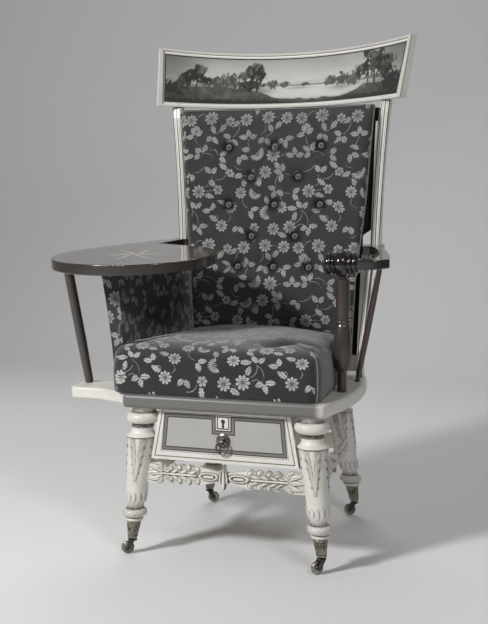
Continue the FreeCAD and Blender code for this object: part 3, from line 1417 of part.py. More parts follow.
def make_right_arm():
    frame = arm_frame(S.right_arm_top)
    body = new_body("right_arm", frame)
    pad(body, "arm", "XY_Plane", [
        (S.arm_end_in, S.arm_end_back),
        (S.arm_end_in, -S.arm_end_front),
        (S.arm_in_x, -S.arm_end_front), bend(S.arm_inner_bow, -1),
        (S.hook_in_x, -S.hook_in_y),
        (S.roll_joint_x, -S.hook_in_y),
        (S.roll_joint_x, -S.arm_front_y),
        (S.arm_nose_x, -S.arm_front_y),
        (S.arm_out_x, -S.arm_out_y), bend(S.arm_outer_bow, 1),
        (S.arm_end_out, -S.arm_neck_y),
        (S.arm_end_out, S.arm_end_back),
    ], S.arm_thick, -S.arm_thick)
    round_edges(body, "nose", S.arm_nose, lambda edge: upright(edge) and near_x(edge.Vertexes[0], S.arm_nose_x))
    round_edges(body, "hook", S.hook_corner, lambda edge: upright(edge) and near_x(edge.Vertexes[0], S.hook_in_x))
    round_edges(body, "arm_edges", S.arm_edge,
                lambda edge: (level_at(S.nil)(edge) or level_at(-S.arm_thick)(edge))
                and not any(near_x(vertex, S.roll_joint_x) or near_x(vertex, S.arm_end_in)
                            for vertex in edge.Vertexes))
    start, end = POSTS["right_spindle"]
    way = (end - start).normalize()
    bore(body, "spindle_socket", S.spindle_end + S.gap, S.post_into + S.over,
         along(end - way * float(S.over) + way * float(S.gap), end + way))

    middle = -(S.hook_in_y + S.arm_front_y) / 2
    turned = FreeCAD.Rotation(Vector(0, 1, 0), -90)
    start = FreeCAD.Placement(vector(S.roll_joint_x, middle, -S.arm_thick / 2), turned)
    roll = new_body("arm_roll", frame * start)
    outline = [(S.nil, S.nil)]
    for place, radius_share, bow_share in ROLL_SHARES:
        outline.append((S.roll_round * radius_share, S.roll_long * place))
        if bow_share:
            outline.append(bend(S.roll_round * bow_share, 1))
    outline.append((S.nil, S.roll_long))
    turn(roll, "roll_turning", outline)
    start, end = POSTS["right_arm_post"]
    way = (end - start).normalize()
    bore(roll, "post_socket", S.post_tenon + S.gap, S.post_into + S.over,
         along(end - way * float(S.roll_round + S.over) + way * float(S.gap), end))
    return body


# Roll at the front of the right arm: place along it, radius share, bow share of the next edge
ROLL_SHARES = [
    (0.000, 0.74, None), (0.050, 0.74, None), (0.055, 0.90, 0.20), (0.160, 0.90, None),
    (0.165, 0.80, None), (0.185, 0.80, None), (0.190, 0.92, 0.18), (0.290, 0.92, None),
    (0.295, 0.82, None), (0.330, 0.82, None), (0.335, 0.96, 0.70), (0.640, 0.96, None),
    (0.645, 0.80, None), (0.675, 0.80, None), (0.680, 0.88, 0.12), (0.745, 0.88, None),
    (0.750, 0.70, None), (0.780, 0.70, None), (0.785, 0.90, 0.32), (0.955, 0.70, None),
    (0.960, 0.40, 0.30), (1.000, 0.22, None),
]

right_arm = make_right_arm()
writing_board = make_writing_board()


# A dowel on each side joins the lower post, the arm and the upper post
def make_post_dowels():
    dowels = []
    for side, word in SIDES:
        middle = arm_top(side) - arm_thick(side) / 2
        low = vector(S.post_dowel_x * side, S.post_dowel_y, middle - S.post_dowel_long / 2)
        hole = FreeCAD.Placement(low - vector(0, 0, S.gap), FreeCAD.Rotation())
        arm = writing_board if side < 0 else right_arm
        for body in (posts[word], arm, uppers[word]):
            bore(body, body.Label + "_dowel_hole", S.dowel + S.gap, S.post_dowel_long + S.gap * 2, hole)
        dowel = doc.addObject("Part::Cylinder", "post_dowel_" + word)
        dowel.setExpression("Radius", S.dowel.text)
        dowel.setExpression("Height", S.post_dowel_long.text)
        dowel.Placement = FreeCAD.Placement(low, FreeCAD.Rotation())
        dowels.append(dowel)
    new_group("post_dowels", dowels)


make_post_dowels()


# The origin moves to the middle of the whole footprint
doc.recompute()
boxes = [piece.Shape.optimalBoundingBox() for piece in pieces]
lowest = [min(getattr(box, name) for box in boxes) for name in ("XMin", "YMin", "ZMin")]
highest = [max(getattr(box, name) for box in boxes) for name in ("XMax", "YMax", "ZMax")]
shift = Vector(-(lowest[0] + highest[0]) / 2, -(lowest[1] + highest[1]) / 2, -lowest[2])
for piece in pieces:
    piece.Placement = FreeCAD.Placement(piece.Placement.Base + shift, piece.Placement.Rotation)
doc.recompute()

for item in doc.Objects:
    if "Invalid" in item.State or "Error" in item.State:
        raise RuntimeError("%s: %s" % (item.Label, item.State))
os.makedirs("parts", exist_ok=True)
for piece in pieces:
    shape = piece.Shape
    if shape.isNull() or not shape.isValid() or not shape.Solids:
        raise RuntimeError(piece.Label + " has no valid solid")
    shape.exportStep("parts/%s.step" % piece.Label)

print("shift", [round(value, 2) for value in shift])
print("size", [round(b - a, 1) for a, b in zip(lowest, highest)])
for name in LEGS:
    print(name, "swivel", leg_point(name, S.cap_low) + shift, "wheel", wheel_centre(name) + shift)
print("ring pivot", vector(*PULL_PIVOT) + shift)
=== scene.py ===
import math
import bpy
import numpy as np
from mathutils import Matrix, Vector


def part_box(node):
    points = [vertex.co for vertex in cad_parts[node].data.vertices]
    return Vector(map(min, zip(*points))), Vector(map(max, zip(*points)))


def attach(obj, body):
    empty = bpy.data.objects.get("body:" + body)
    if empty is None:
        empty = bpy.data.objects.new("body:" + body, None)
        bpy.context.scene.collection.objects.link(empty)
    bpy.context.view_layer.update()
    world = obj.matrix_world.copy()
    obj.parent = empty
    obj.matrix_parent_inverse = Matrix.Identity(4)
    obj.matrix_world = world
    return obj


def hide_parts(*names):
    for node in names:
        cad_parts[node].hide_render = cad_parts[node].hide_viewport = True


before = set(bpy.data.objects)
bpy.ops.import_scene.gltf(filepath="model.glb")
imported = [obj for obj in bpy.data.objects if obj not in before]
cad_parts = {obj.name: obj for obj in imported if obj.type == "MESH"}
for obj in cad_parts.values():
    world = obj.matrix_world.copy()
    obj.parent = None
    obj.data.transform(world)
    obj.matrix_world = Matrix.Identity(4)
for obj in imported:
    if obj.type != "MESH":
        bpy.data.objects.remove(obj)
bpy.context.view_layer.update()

# The room: a pale floor that sweeps up into a backdrop, a key lamp to the front left, weaker lamps to
# the right and behind, and the camera where the photograph was taken from. The chair's centre line
# lies to the +X side of the outline's middle, because the writing board reaches out to -X.
CENTRE = np.array([0.042135, 0.011342, 0.0])
SENSOR = 36
PHOTO_TALL, FOCAL_LENGTH, OPTICAL_ROW = 624, 1023.8, 313.7  # in the photograph's pixels
CAMERA_PLACE, CAMERA_DIP, CAMERA_TURN = (0.701135, -2.123658, 0.698), 5.31, 17.83  # metres, degrees
CLOSED = {"wrap": True, "start": True, "end": True}


def point_at(thing, target):
    """Turns a lamp's -Z axis towards a point."""
    way = np.array(target) - np.array(thing.location)
    thing.rotation_euler = (math.atan2(math.hypot(way[0], way[1]), -way[2]), 0,
                            math.atan2(way[1], way[0]) - math.pi / 2)


camera = bpy.data.objects.new("camera", bpy.data.cameras.new("camera"))
bpy.context.scene.collection.objects.link(camera)
bpy.context.scene.camera = camera
camera.location = CAMERA_PLACE
camera.rotation_euler = (math.radians(90 - CAMERA_DIP), 0, math.radians(CAMERA_TURN))
camera.data.sensor_fit = "VERTICAL"
camera.data.sensor_height = SENSOR
camera.data.lens = SENSOR * FOCAL_LENGTH / PHOTO_TALL
camera.data.shift_y = (OPTICAL_ROW - PHOTO_TALL / 2) / PHOTO_TALL

for name, place, target, size, power in [
        ("key_lamp", (-1.5, -2.5, 2.2), (0, 0, 0.5), 0.5, 100),
        ("fill_lamp", (1.9, -2.3, 2.5), (0, 0, 0.5), 0.8, 26),
        ("back_lamp", (-0.6, 2.0, 2.6), (0, 0, 0.7), 1.8, 24)]:
    lamp = bpy.data.lights.new(name, "AREA")
    lamp.shape = "DISK"
    lamp.size = size
    lamp.energy = power
    holder = bpy.data.objects.new(name, lamp)
    bpy.context.scene.collection.objects.link(holder)
    holder.location = place
    point_at(holder, target)

world = bpy.data.worlds.new("studio")
bpy.context.scene.world = world
world.use_nodes = True
world.node_tree.nodes["Background"].inputs["Color"].default_value = (0.80, 0.80, 0.80, 1)
world.node_tree.nodes["Background"].inputs["Strength"].default_value = 0.21
bpy.context.scene.view_settings.view_transform = "Standard"


def grid_of(x, y, z):
    """Points from three arrays of places, each spread over the others' rows and columns."""
    return np.stack(np.broadcast_arrays(x, y, z), axis=-1)


def build(name, sheets, material, replaces=(), crease=42, body="chair"):
    """
    Makes one piece from grids of points and lets it ride on its body.

    Each sheet is a dictionary. points is an array (rows, columns, 3) in the chair's own frame;
    vertex (i, j) is joined to (i + 1, j) and (i, j + 1). wrap joins the last column to the first,
    start and end close the first and last row with one face, flip turns the faces over, uv is an
    array (rows, columns, 2), to which wrap adds its first column unless it has one more already, and
    every other key is a number at each vertex that the material reads by its name.
    """
    points, faces, corners, marks = [], [], [], {}
    names = sorted({key for sheet in sheets for key in sheet} - {"points", "flip", "uv", *CLOSED})
    count = 0
    for sheet in sheets:
        grid = np.asarray(sheet["points"], float)
        rows, columns = grid.shape[:2]
        ids = np.arange(rows * columns).reshape(rows, columns) + count
        if sheet.get("wrap"):
            ids = np.hstack([ids, ids[:, :1]])
        if "uv" in sheet:
            uv = np.asarray(sheet["uv"], float)
            uv = np.hstack([uv, uv[:, :1]])[:, :ids.shape[1]]
        else:
            uv = np.stack(np.meshgrid(np.linspace(0, 1, ids.shape[1]), np.linspace(0, 1, rows)), axis=-1)
        turns = [(0, 0), (0, 1), (1, 1), (1, 0)]
        if sheet.get("flip"):
            turns = turns[::-1]
        high, wide = ids.shape[0] - 1, ids.shape[1] - 1
        quads = np.stack([ids[a:a + high, b:b + wide] for a, b in turns], axis=-1).reshape(-1, 4)
        faces += quads.tolist()
        corners.append(np.stack([uv[a:a + high, b:b + wide] for a, b in turns], axis=-2).reshape(-1, 2))
        for key, row in (("start", ids[0, :columns][::-1]), ("end", ids[-1, :columns])):
            if sheet.get(key):
                row = row[::-1] if sheet.get("flip") else row
                faces.append(row.tolist())
                corners.append(np.zeros((columns, 2)))
        points.append(grid.reshape(-1, 3) + CENTRE)
        for key in names:
            value = np.broadcast_to(np.asarray(sheet.get(key, 0.0), float), (rows, columns))
            marks.setdefault(key, []).append(value.reshape(-1))
        count += rows * columns
    mesh = bpy.data.meshes.new(name)
    mesh.from_pydata(np.concatenate(points), [], faces)
    layer = mesh.uv_layers.new(name="weave")
    layer.data.foreach_set("uv", np.concatenate(corners).astype(np.float32).reshape(-1))
    for key in names:
        mark = mesh.attributes.new(key, "FLOAT", "POINT")
        mark.data.foreach_set("value", np.concatenate(marks[key]).astype(np.float32))
    mesh.validate()
    mesh.shade_smooth()
    mesh.set_sharp_from_angle(angle=math.radians(crease))
    piece = bpy.data.objects.new(name, mesh)
    bpy.context.scene.collection.objects.link(piece)
    mesh.materials.append(material)
    if body:
        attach(piece, body)
    if replaces:
        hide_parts(*replaces)
    return piece


class Value:
    """A number worked out in a shader tree; + - * / place Math nodes."""

    def __init__(self, socket):
        self.socket = socket

    def maths(self, operation, *others, clamp=False):
        """The result of one Math node whose first input is this value."""
        feeds = dict(enumerate((self, *others)))
        node = add(self.socket.id_data, "Math", feeds, operation=operation, use_clamp=clamp)
        return Value(node.outputs[0])

    def __add__(self, other):
        return self.maths("ADD", other)

    def __sub__(self, other):
        return self.maths("SUBTRACT", other)

    def __mul__(self, other):
        return self.maths("MULTIPLY", other)

    def __truediv__(self, other):
        return self.maths("DIVIDE", other)

    def __neg__(self):
        return self.maths("MULTIPLY", -1.0)


def feed(socket, value):
    """Gives an input socket a plain value, or links it to a worked-out one."""
    value = value.socket if isinstance(value, Value) else value
    if isinstance(value, bpy.types.NodeSocket):
        socket.id_data.links.new(value, socket)
    else:
        socket.default_value = value


def add(tree, kind, feeds=None, **settings):
    """Puts a node into a tree; feeds gives its inputs."""
    made = tree.nodes.new("ShaderNode" + kind)
    for key, value in settings.items():
        setattr(made, key, value)
    for key, value in (feeds or {}).items():
        feed(made.inputs[key], value)
    return made


def mixed(tree, share, low, high, way="MIX"):
    """The colour at a share between two others."""
    node = add(tree, "Mix", {"Factor": share, 6: low, 7: high}, data_type="RGBA", blend_type=way)
    return node.outputs[2]


def noise(tree, place, scale, detail, rough=0.5):
    """Layered noise from 0 to 1."""
    feeds = {"Vector": place, "Scale": scale, "Detail": detail, "Roughness": rough}
    return Value(add(tree, "TexNoise", feeds).outputs["Fac"])


def ramped(value, low, high, start=0.0, end=1.0):
    """A value mapped from low and high to start and end, and held there outside them."""
    feeds = {"Value": value, "From Min": low, "From Max": high, "To Min": start, "To Max": end}
    return Value(add(value.socket.id_data, "MapRange", feeds).outputs[0])


def stretched(tree, place, scale):
    """A place with each axis scaled."""
    return add(tree, "Mapping", {"Vector": place, "Scale": scale}).outputs[0]


def mark_of(tree, name):
    """The number that a piece's vertices carry under a name."""
    return Value(add(tree, "Attribute", attribute_name=name).outputs["Fac"])


def axes_of(tree, vector):
    """The three numbers of a vector."""
    return [Value(socket) for socket in add(tree, "SeparateXYZ", {0: vector}).outputs]


def normal_of(tree):
    """The three numbers of the surface's direction."""
    return axes_of(tree, add(tree, "NewGeometry").outputs["Normal"])


def finish(name, **constants):
    """A new material's tree, its surface shader with these constants, and Object coordinates."""
    material = bpy.data.materials.new(name)
    material.use_nodes = True
    tree = material.node_tree
    shader = tree.nodes["Principled BSDF"]
    for key, value in constants.items():
        shader.inputs[key.replace("_", " ")].default_value = value
    return material, tree, shader, add(tree, "TexCoord").outputs["Object"]


def join(shader, colour, rough, height, depth):
    """Links worked-out values into a surface shader, height through a Bump node."""
    for label, value in (("Base Color", colour), ("Roughness", rough)):
        if value is not None:
            feed(shader.inputs[label], value)
    bump = add(shader.id_data, "Bump", {"Height": height, "Distance": depth, "Strength": 1.0})
    feed(shader.inputs["Normal"], bump.outputs["Normal"])


def group(name, inputs, outputs):
    """A shader group; inputs and outputs map labels to kinds. Gives its tree and both ends' sockets."""
    tree = bpy.data.node_groups.new(name, "ShaderNodeTree")
    for way, sockets in (("INPUT", inputs), ("OUTPUT", outputs)):
        for label, kind in sockets.items():
            tree.interface.new_socket(label, in_out=way, socket_type="NodeSocket" + kind)
    return tree, tree.nodes.new("NodeGroupInput").outputs, tree.nodes.new("NodeGroupOutput").inputs


def use(tree, shared, **feeds):
    """Places a shared group in a material; feeds are its inputs by name."""
    node = tree.nodes.new("ShaderNodeGroup")
    node.node_tree = shared
    for key, value in feeds.items():
        feed(node.inputs[key], value)
    return node.outputs


SURFACE = {"Colour": "Color", "Roughness": "Float", "Height": "Float"}
FLOOR_FRONT, FLOOR_BACK, FLOOR_HALF, FLOOR_GAP = -3.2, 2.2, 4.5, 0.0004
BEND, WALL_RISE = 1.2, 11
FLAT_SHARE, BENT_SHARE = 0.55, 0.75
floor_paint, tree, shader, place = finish("studio_paper", Base_Color=(0.70, 0.70, 0.70, 1), Roughness=0.9)
join(shader, None, None, noise(tree, place, 260.0, 3.0), 0.0002)
depth = np.linspace(0, 1, 60)[:, None]
sweep = np.clip((depth - FLAT_SHARE) / (BENT_SHARE - FLAT_SHARE), 0, 1) * math.pi / 2
floor_y = np.where(depth < FLAT_SHARE, FLOOR_FRONT + depth / FLAT_SHARE * (FLOOR_BACK - FLOOR_FRONT),
                   FLOOR_BACK + BEND * np.sin(sweep))
floor_z = np.where(depth < BENT_SHARE, BEND - BEND * np.cos(sweep), BEND + (depth - BENT_SHARE) * WALL_RISE)
floor_grid = grid_of(np.linspace(-FLOOR_HALF, FLOOR_HALF, 20), floor_y, floor_z - FLOOR_GAP)
studio = build("studio_floor", [{"points": floor_grid}], floor_paint, body=None)


# Legs: turned from hardwood, splayed, with a torus and a cove under the seat, a column with low
# acanthus leaves cut into it, and an ankle ring. They are painted cream, and age has brushed the paint
# off the edges; their cut lines, leaf edges and the steps under the rings are painted darker, partly
# as dirt and partly as painted shade of the carving. Each stands in a brass cap.
LEG_AXES = {
    "front_left": ((-0.206, -0.218), (-0.179, -0.208)), "front_right": ((0.206, -0.218), (0.179, -0.208)),
    "back_left": ((-0.187, 0.203), (-0.140, 0.190)), "back_right": ((0.187, 0.203), (0.140, 0.190))}
AXIS_TALL = 0.290
COLUMN_LOW, COLUMN_HIGH = 0.1115, 0.2500
COLUMN_RADIUS, LEG_TURN, LEG_CARVED = 0.0215, math.radians(8), 0.0018
LEAF_ROOT, LEAF_TALL, STRIP_ROOT = 0.158, 0.0895, 0.172
LOW_LEAF_ROOT, LOW_LEAF_HALF, LOW_LEAF_TALL = 0.1125, 0.0062, 0.022
RING_MIDDLE = 0.089
LINE_LEVELS = (0.0708, 0.0803, 0.0985, 0.1085, 0.2498, 0.2712, 0.2783, 0.3020)
CREAM = (0.66, 0.638, 0.588, 1)
STAIN_AND_SHADE = (0.085, 0.07, 0.055, 1)

aged_paint, inside, outside = group(
    "aged_paint", {"Place": "Vector", "Colour": "Color", "Hollow": "Float", "Age": "Float"}, SURFACE)
cloud = noise(aged_paint, inside["Place"], 14.0, 6.0, 0.65)
speck = noise(aged_paint, inside["Place"], 160.0, 4.0, 0.6)
brush = noise(aged_paint, inside["Place"], 420.0, 2.0)
crackle = add(aged_paint, "TexVoronoi", {"Vector": inside["Place"], "Scale": 120.0},
              feature="DISTANCE_TO_EDGE")
crack = Value(crackle.outputs["Distance"]).maths("LESS_THAN", 0.012)
crack = (crack * cloud.maths("SUBTRACT", 0.52, clamp=True)).maths("MULTIPLY", 2.0, clamp=True)
# Paint darkens with dirt at random; the piece's Hollow mark darkens its cut lines further, partly as dirt and
# partly as painted shade of the carving.
dirt_and_shade = ramped(cloud, 0.42, 0.78) * 0.30 + ramped(speck, 0.60, 0.72) * 0.35 + crack
dirt_and_shade = (dirt_and_shade * inside["Age"]).maths("ADD", (speck + 0.55) * inside["Hollow"], clamp=True)
feed(outside["Colour"], mixed(aged_paint, dirt_and_shade, inside["Colour"], STAIN_AND_SHADE))
feed(outside["Roughness"], dirt_and_shade * 0.25 + 0.42)
feed(outside["Height"], brush * 0.12 - dirt_and_shade * 0.5)


def painted(name, colour=CREAM, age=0.5, hollow=None, depth=0.0006, coat=(0.12, 0.3)):
    """
    A finish of aged paint. colour is plain, or a function of tree and place; hollow names the
    piece's own mark of its cut lines, darkened as dirt and as painted shade; coat is the weight and
    roughness of the varnish.
    """
    material, tree, shader, place = finish(name, Coat_Weight=coat[0], Coat_Roughness=coat[1])
    feeds = {"Place": place, "Colour": colour(tree, place) if callable(colour) else colour, "Age": age}
    if hollow:
        feeds["Hollow"] = mark_of(tree, hollow)
    made = use(tree, aged_paint, **feeds)
    join(shader, made["Colour"], made["Roughness"], made["Height"], depth)
    return material


def arc_profile(start, end, bulge, count=9):
    """Points of a circular arc between two (radius, height) points, bulging outwards by so much."""
    start, end = np.array(start), np.array(end)
    half = (end - start) / 2
    reach = np.hypot(*half)
    radius = (reach ** 2 + bulge ** 2) / (2 * abs(bulge))
    side = np.array([half[1], -half[0]]) / reach * np.sign(bulge)
    centre = start + half - side * (radius - abs(bulge))
    spread = math.asin(min(reach / radius, 1.0))
    if abs(bulge) > reach:
        spread = math.pi - spread
    turn = np.linspace(-spread, spread, count)
    away = np.cos(turn)[:, None] * side + np.sin(turn)[:, None] * half / reach
    return centre + radius * away


def smooth(value, low, high):
    """0 below low, 1 above high, and smooth between them."""
    share = np.clip((value - low) / (high - low), 0, 1)
    return share * share * (3 - 2 * share)


def hump(value, middle, wide):
    """1 at the middle, falling smoothly to nearly 0 at twice the width on each side."""
    return np.exp(-((value - middle) / wide) ** 2)


def small_leaf(across, up, half, tall, lobes):
    """
    Height and shade of one upright acanthus leaf at places (across, up) from its root.

    Its edge follows a sine of the way up, nicked between its lobes. It swells between its edges,
    with a vein down the middle and ribs that run up and outwards.
    """
    share = np.clip(up / tall, 0, 1)
    edge = half * np.sin(math.pi * np.clip(share * 0.94 + 0.06, 0, 1)) ** 0.6
    edge = edge * (1 - 0.24 * np.abs(np.sin(lobes * math.pi * share))) + 1e-6
    out = np.abs(across) / edge
    within = (up > 0) & (up < tall)
    body = np.where(within, np.clip(1 - out ** 2, 0, 1) ** 0.5, 0)
    ribs = np.abs(np.sin((share * lobes - np.abs(across) / half * 1.6) * math.pi))
    cut = hump(across, 0, half * 0.06) + 0.5 * np.clip(1 - ribs * 5, 0, 1) * np.clip(out, 0, 1)
    rim = np.where(within, hump(out, 1, 0.13), 0)
    height = body * (0.80 + 0.20 * ribs) - 0.30 * cut * (body > 0)
    return height, np.clip(rim + 0.30 * cut * (body > 0), 0, 1)


def tall_leaf(bend, high):
    """
    Height and shade of one of a column's tall leaves, with its smooth strip, at angles from its middle.

    The leaf widens upwards with five lobes and has veins; the strip up its middle is outlined dark.
    """
    share = np.clip((high - LEAF_ROOT) / LEAF_TALL, 0, 1)
    lobe = np.abs(np.sin(share * math.pi * 5))
    edge = (0.10 + 0.60 * share ** 0.8) * (0.86 + 0.14 * lobe ** 0.6)
    strip = 0.045 + 0.17 * smooth(high, 0.200, 0.2475)
    out = np.abs(bend)
    leaf = (high > LEAF_ROOT) * smooth(edge - out, 0, 0.07)
    veins = np.abs(np.sin((share * 5 - out * 2.2) * math.pi))
    # The notches, the outline of the strip and the leaf's body, darkest towards its edges, are painted
    # darker: painted shade of the carving, with paint worn off over the leaf.
    notch = hump(out, edge, 0.075) * np.clip(1.1 - lobe * 1.7, 0, 1) * (share > 0.02) * (share < 0.98)
    line = hump(out, strip, 0.022) * (high > STRIP_ROOT) * smooth(high, 0.168, 0.215)
    cut = 0.45 * np.clip(1 - veins * 2.0, 0, 1) * smooth(out, 0.06, 0.40)
    soft = leaf * (0.20 + 0.16 * smooth(out / edge, 0.3, 1.0) + cut)
    return leaf * (0.72 + 0.28 * veins), np.maximum(notch, np.maximum(0.85 * line, soft)), out, strip


def leg_surface(forward):
    """Radius, height and shade at each point of a leg whose front lies at the angle forward."""
    high = np.broadcast_to(leg_profile[:, 1:], (len(leg_profile), len(around)))
    relief, shade = np.zeros(high.shape), np.zeros(high.shape)
    for number in range(4):
        turned = forward + number * math.pi / 2 + LEG_TURN
        bend = np.angle(np.exp(1j * (around - turned)))[None, :] + 0 * high
        rise, dark, out, strip = tall_leaf(bend, high)
        relief, shade = np.maximum(relief, rise), np.maximum(shade, dark)
        inner = (out < strip) & (high > STRIP_ROOT)
        relief = np.where(inner, 0.35 + 0.4 * (1 - out / strip), relief)
        shade = np.where(inner & (out < strip * 0.8), 0.0, shade)
        for offset in (-0.5, 0.0, 0.5):
            rise, dark = small_leaf((bend - offset) * COLUMN_RADIUS, high - LOW_LEAF_ROOT,
                                    LOW_LEAF_HALF, LOW_LEAF_TALL, 3)
            relief, shade = np.maximum(relief, rise), np.maximum(shade, dark * 0.75)
    column = (high > COLUMN_LOW) & (high < COLUMN_HIGH)
    # The steps of the turning get dark lines: painted shade at each step.
    lines = np.max([hump(high, level, 0.0011) for level in LINE_LEVELS], axis=0)
    pits = np.sin(around * 9 + high * 900) * np.sin(around * 23 - high * 310)
    ring = hump(high, RING_MIDDLE, 0.008) * np.clip(pits * 1.6, 0, 1) * 0.85
    shade = np.clip(np.where(column, shade, 0) + lines * 0.9 + ring, 0, 1)
    return leg_profile[:, :1] + np.where(column, relief * LEG_CARVED, 0), high, shade


def round_leg(axis, radius, high, turn):
    """Points at a radius from a leg's leaning axis, given by its (x, y) at the floor and at the top."""
    (foot_x, foot_y), (top_x, top_y) = axis
    share = high / AXIS_TALL
    return grid_of(foot_x + (top_x - foot_x) * share + radius * np.cos(turn),
                   foot_y + (top_y - foot_y) * share + radius * np.sin(turn), high)


leg_profile = np.vstack([
    [(0.0084, 0.0373), (0.0132, 0.0703), (0.015, 0.0703)],
    arc_profile((0.015, 0.071), (0.015, 0.080), 0.0042),
    arc_profile((0.0175, 0.080), (0.0175, 0.098), 0.0080, 13), [(0.0175, 0.107)],
    np.stack([np.linspace(0.021, 0.029, 70), np.linspace(0.112, 0.2495, 70)], axis=1),
    [(0.0312, 0.2502), (0.032, 0.2515), (0.032, 0.2528), (0.0305, 0.2541)],
    arc_profile((0.030, 0.2545), (0.023, 0.271), -0.0035), [(0.023, 0.2783)],
    arc_profile((0.0235, 0.2785), (0.0248, 0.3015), 0.0105, 15), [(0.0248, 0.313)]])
around = np.linspace(0, 2 * math.pi, 144, endpoint=False)
cream_legs = painted("cream_carved", age=0.62, hollow="hollow")
for name, axis in LEG_AXES.items():
    radius, high, shade = leg_surface(-math.pi / 2 if name.startswith("front") else math.pi / 2)
    grid = round_leg(axis, radius, high, around)
    build(name + "_carved_leg", [{"points": grid, "hollow": shade, **CLOSED}],
          cream_legs, (name + "_leg",), 60)


# Brass caps with cut flutes, iron caster forks and brass wheels. The caps are turned cones pressed
# on the legs' feet; the forks' stems turn in them. The metal is dull and dark in its low places.
FLUTE_LOW, FLUTE_HIGH, LEAFING_LOW = 0.0395, 0.0655, 0.052
FLUTE_DEEP, CAP_RIM = 0.0005, 0.0097

aged_metal, inside, outside = group(
    "aged_metal", {"Place": "Vector", "Bright": "Color", "Dark": "Color", "Hollow": "Float"}, SURFACE)
stain = noise(aged_metal, inside["Place"], 70.0, 6.0, 0.7)
scratch = noise(aged_metal, inside["Place"], 900.0, 2.0)
dull = ramped(stain, 0.42, 0.70).maths("ADD", inside["Hollow"], clamp=True)
feed(outside["Colour"], mixed(aged_metal, dull, inside["Bright"], inside["Dark"]))
feed(outside["Roughness"], dull * 0.34 + 0.26)
feed(outside["Height"], scratch * 0.3 + stain)


def metal(name, bright, dark, hollow=None):
    """A finish of worn metal between its bright and its dark colour."""
    material, tree, shader, place = finish(name, Metallic=1.0)
    feeds = {"Place": place, "Bright": bright, "Dark": dark}
    if hollow:
        feeds["Hollow"] = mark_of(tree, hollow)
    made = use(tree, aged_metal, **feeds)
    join(shader, made["Colour"], made["Roughness"], made["Height"], 0.0002)
    return material


def dress(material, *nodes):
    """Puts a finish on CAD nodes whose shape is right."""
    for node in nodes:
        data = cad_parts[node].data
        data.materials.clear()
        data.materials.append(material)


cap_metal = metal("fluted_brass", (0.42, 0.385, 0.325, 1), (0.045, 0.040, 0.034, 1), "hollow")
wheel_metal = metal("wheel_brass", (0.36, 0.335, 0.29, 1), (0.05, 0.045, 0.04, 1))
fork_metal = metal("caster_iron", (0.11, 0.105, 0.10, 1), (0.02, 0.019, 0.018, 1))
cap_round = np.linspace(0, 2 * math.pi, 120, endpoint=False)
cap_wall = np.array([(0.0045, 0.0346), (0.0096, 0.0346), (0.0102, 0.0352)]
                    + [(0.0102 + 0.0048 * t, 0.0352 + 0.0340 * t) for t in np.linspace(0.02, 0.98, 40)]
                    + [(0.0150, 0.0694), (0.0146, 0.0699), (0.0138, 0.0699), (0.0134, 0.0690)])
radius = cap_wall[:, :1]
high = np.broadcast_to(cap_wall[:, 1:], (len(cap_wall), len(cap_round)))
flute = np.clip(np.sin(cap_round * 14 + high * 520), 0, 1) ** 2
leafing = np.abs(np.sin(cap_round * 7)) < 0.12
carve = np.where(high > LEAFING_LOW, np.maximum(flute, 0.9 * leafing), flute)
rims = hump(high, FLUTE_LOW, 0.0006) + hump(high, FLUTE_HIGH, 0.0006)
hollow = np.where((high > FLUTE_LOW) & (high < FLUTE_HIGH), carve, 0) + rims
hollow = np.clip(hollow * (radius > CAP_RIM), 0, 1)
for name, axis in LEG_AXES.items():
    grid = round_leg(axis, radius - hollow * FLUTE_DEEP, high, cap_round)
    build(name + "_fluted_cap", [{"points": grid, "wrap": True, "hollow": hollow * 0.8}],
          cap_metal, (name + "_cap",), 50)
    dress(fork_metal, name + "_caster_fork")
    dress(wheel_metal, name + "_caster_wheel")


# Stretchers: boards housed in the legs, their edges sawn to scrolls and their faces carved with an
# acanthus branch to each side of a pointed boss and a palmette at each leg. The carving is a height
# over the board, worked out from leaves, lobes and stems; the back stretcher is a plain rail.
RAIL_LOW, FRONT_HIGH, SIDE_HIGH = 0.150, 0.204, 0.197
FRONT_HALF, FRONT_Y, RAIL_BACK, CARVED_DEEP = 0.1728, -0.2189, 0.010, 0.0052
SIDE_INSET, SIDE_OUT, BOSS_HALF, BOSS_REACH = 0.0085, 0.0035, 0.0095, 0.98
# Leaves of the palmette: root and tip as shares of the half length and half height, width, bend.
PALMETTE = [((0.74, 0.0), (0.99, 0.0), 0.20, 0.0), ((0.76, 0.10), (0.97, 0.50), 0.20, 0.004),
            ((0.76, -0.10), (0.97, -0.50), 0.20, -0.004), ((0.77, 0.24), (0.86, 0.82), 0.17, 0.004),
            ((0.77, -0.24), (0.86, -0.82), 0.17, -0.004)]
# Lobes of the branch: root, head and size in the same shares.
BRANCH_LOBES = [((0.74, 0.10), (0.660, 0.40), 0.150), ((0.66, 0.10), (0.555, 0.50), 0.190),
                ((0.55, 0.10), (0.440, 0.54), 0.205), ((0.44, 0.10), (0.325, 0.46), 0.185)]


def blade(x, z, root, tip, half, curl=0.0):
    """
    Share across a leaf from its mid-rib, and along it, at (x, z).

    The rib runs from root to tip and bends sideways by curl * (1 - (2 s - 1)**2);
    the leaf's half width is half * sin(pi * s ** 0.75).
    """
    way = np.array(tip) - np.array(root)
    long = np.hypot(*way)
    way = way / long
    s = ((x - root[0]) * way[0] + (z - root[1]) * way[1]) / long
    across = -(x - root[0]) * way[1] + (z - root[1]) * way[0]
    across = across - curl * (1 - (2 * s - 1) ** 2)
    width = half * np.sin(math.pi * np.clip(s, 0, 1) ** 0.75) + 1e-6
    return across / width, s


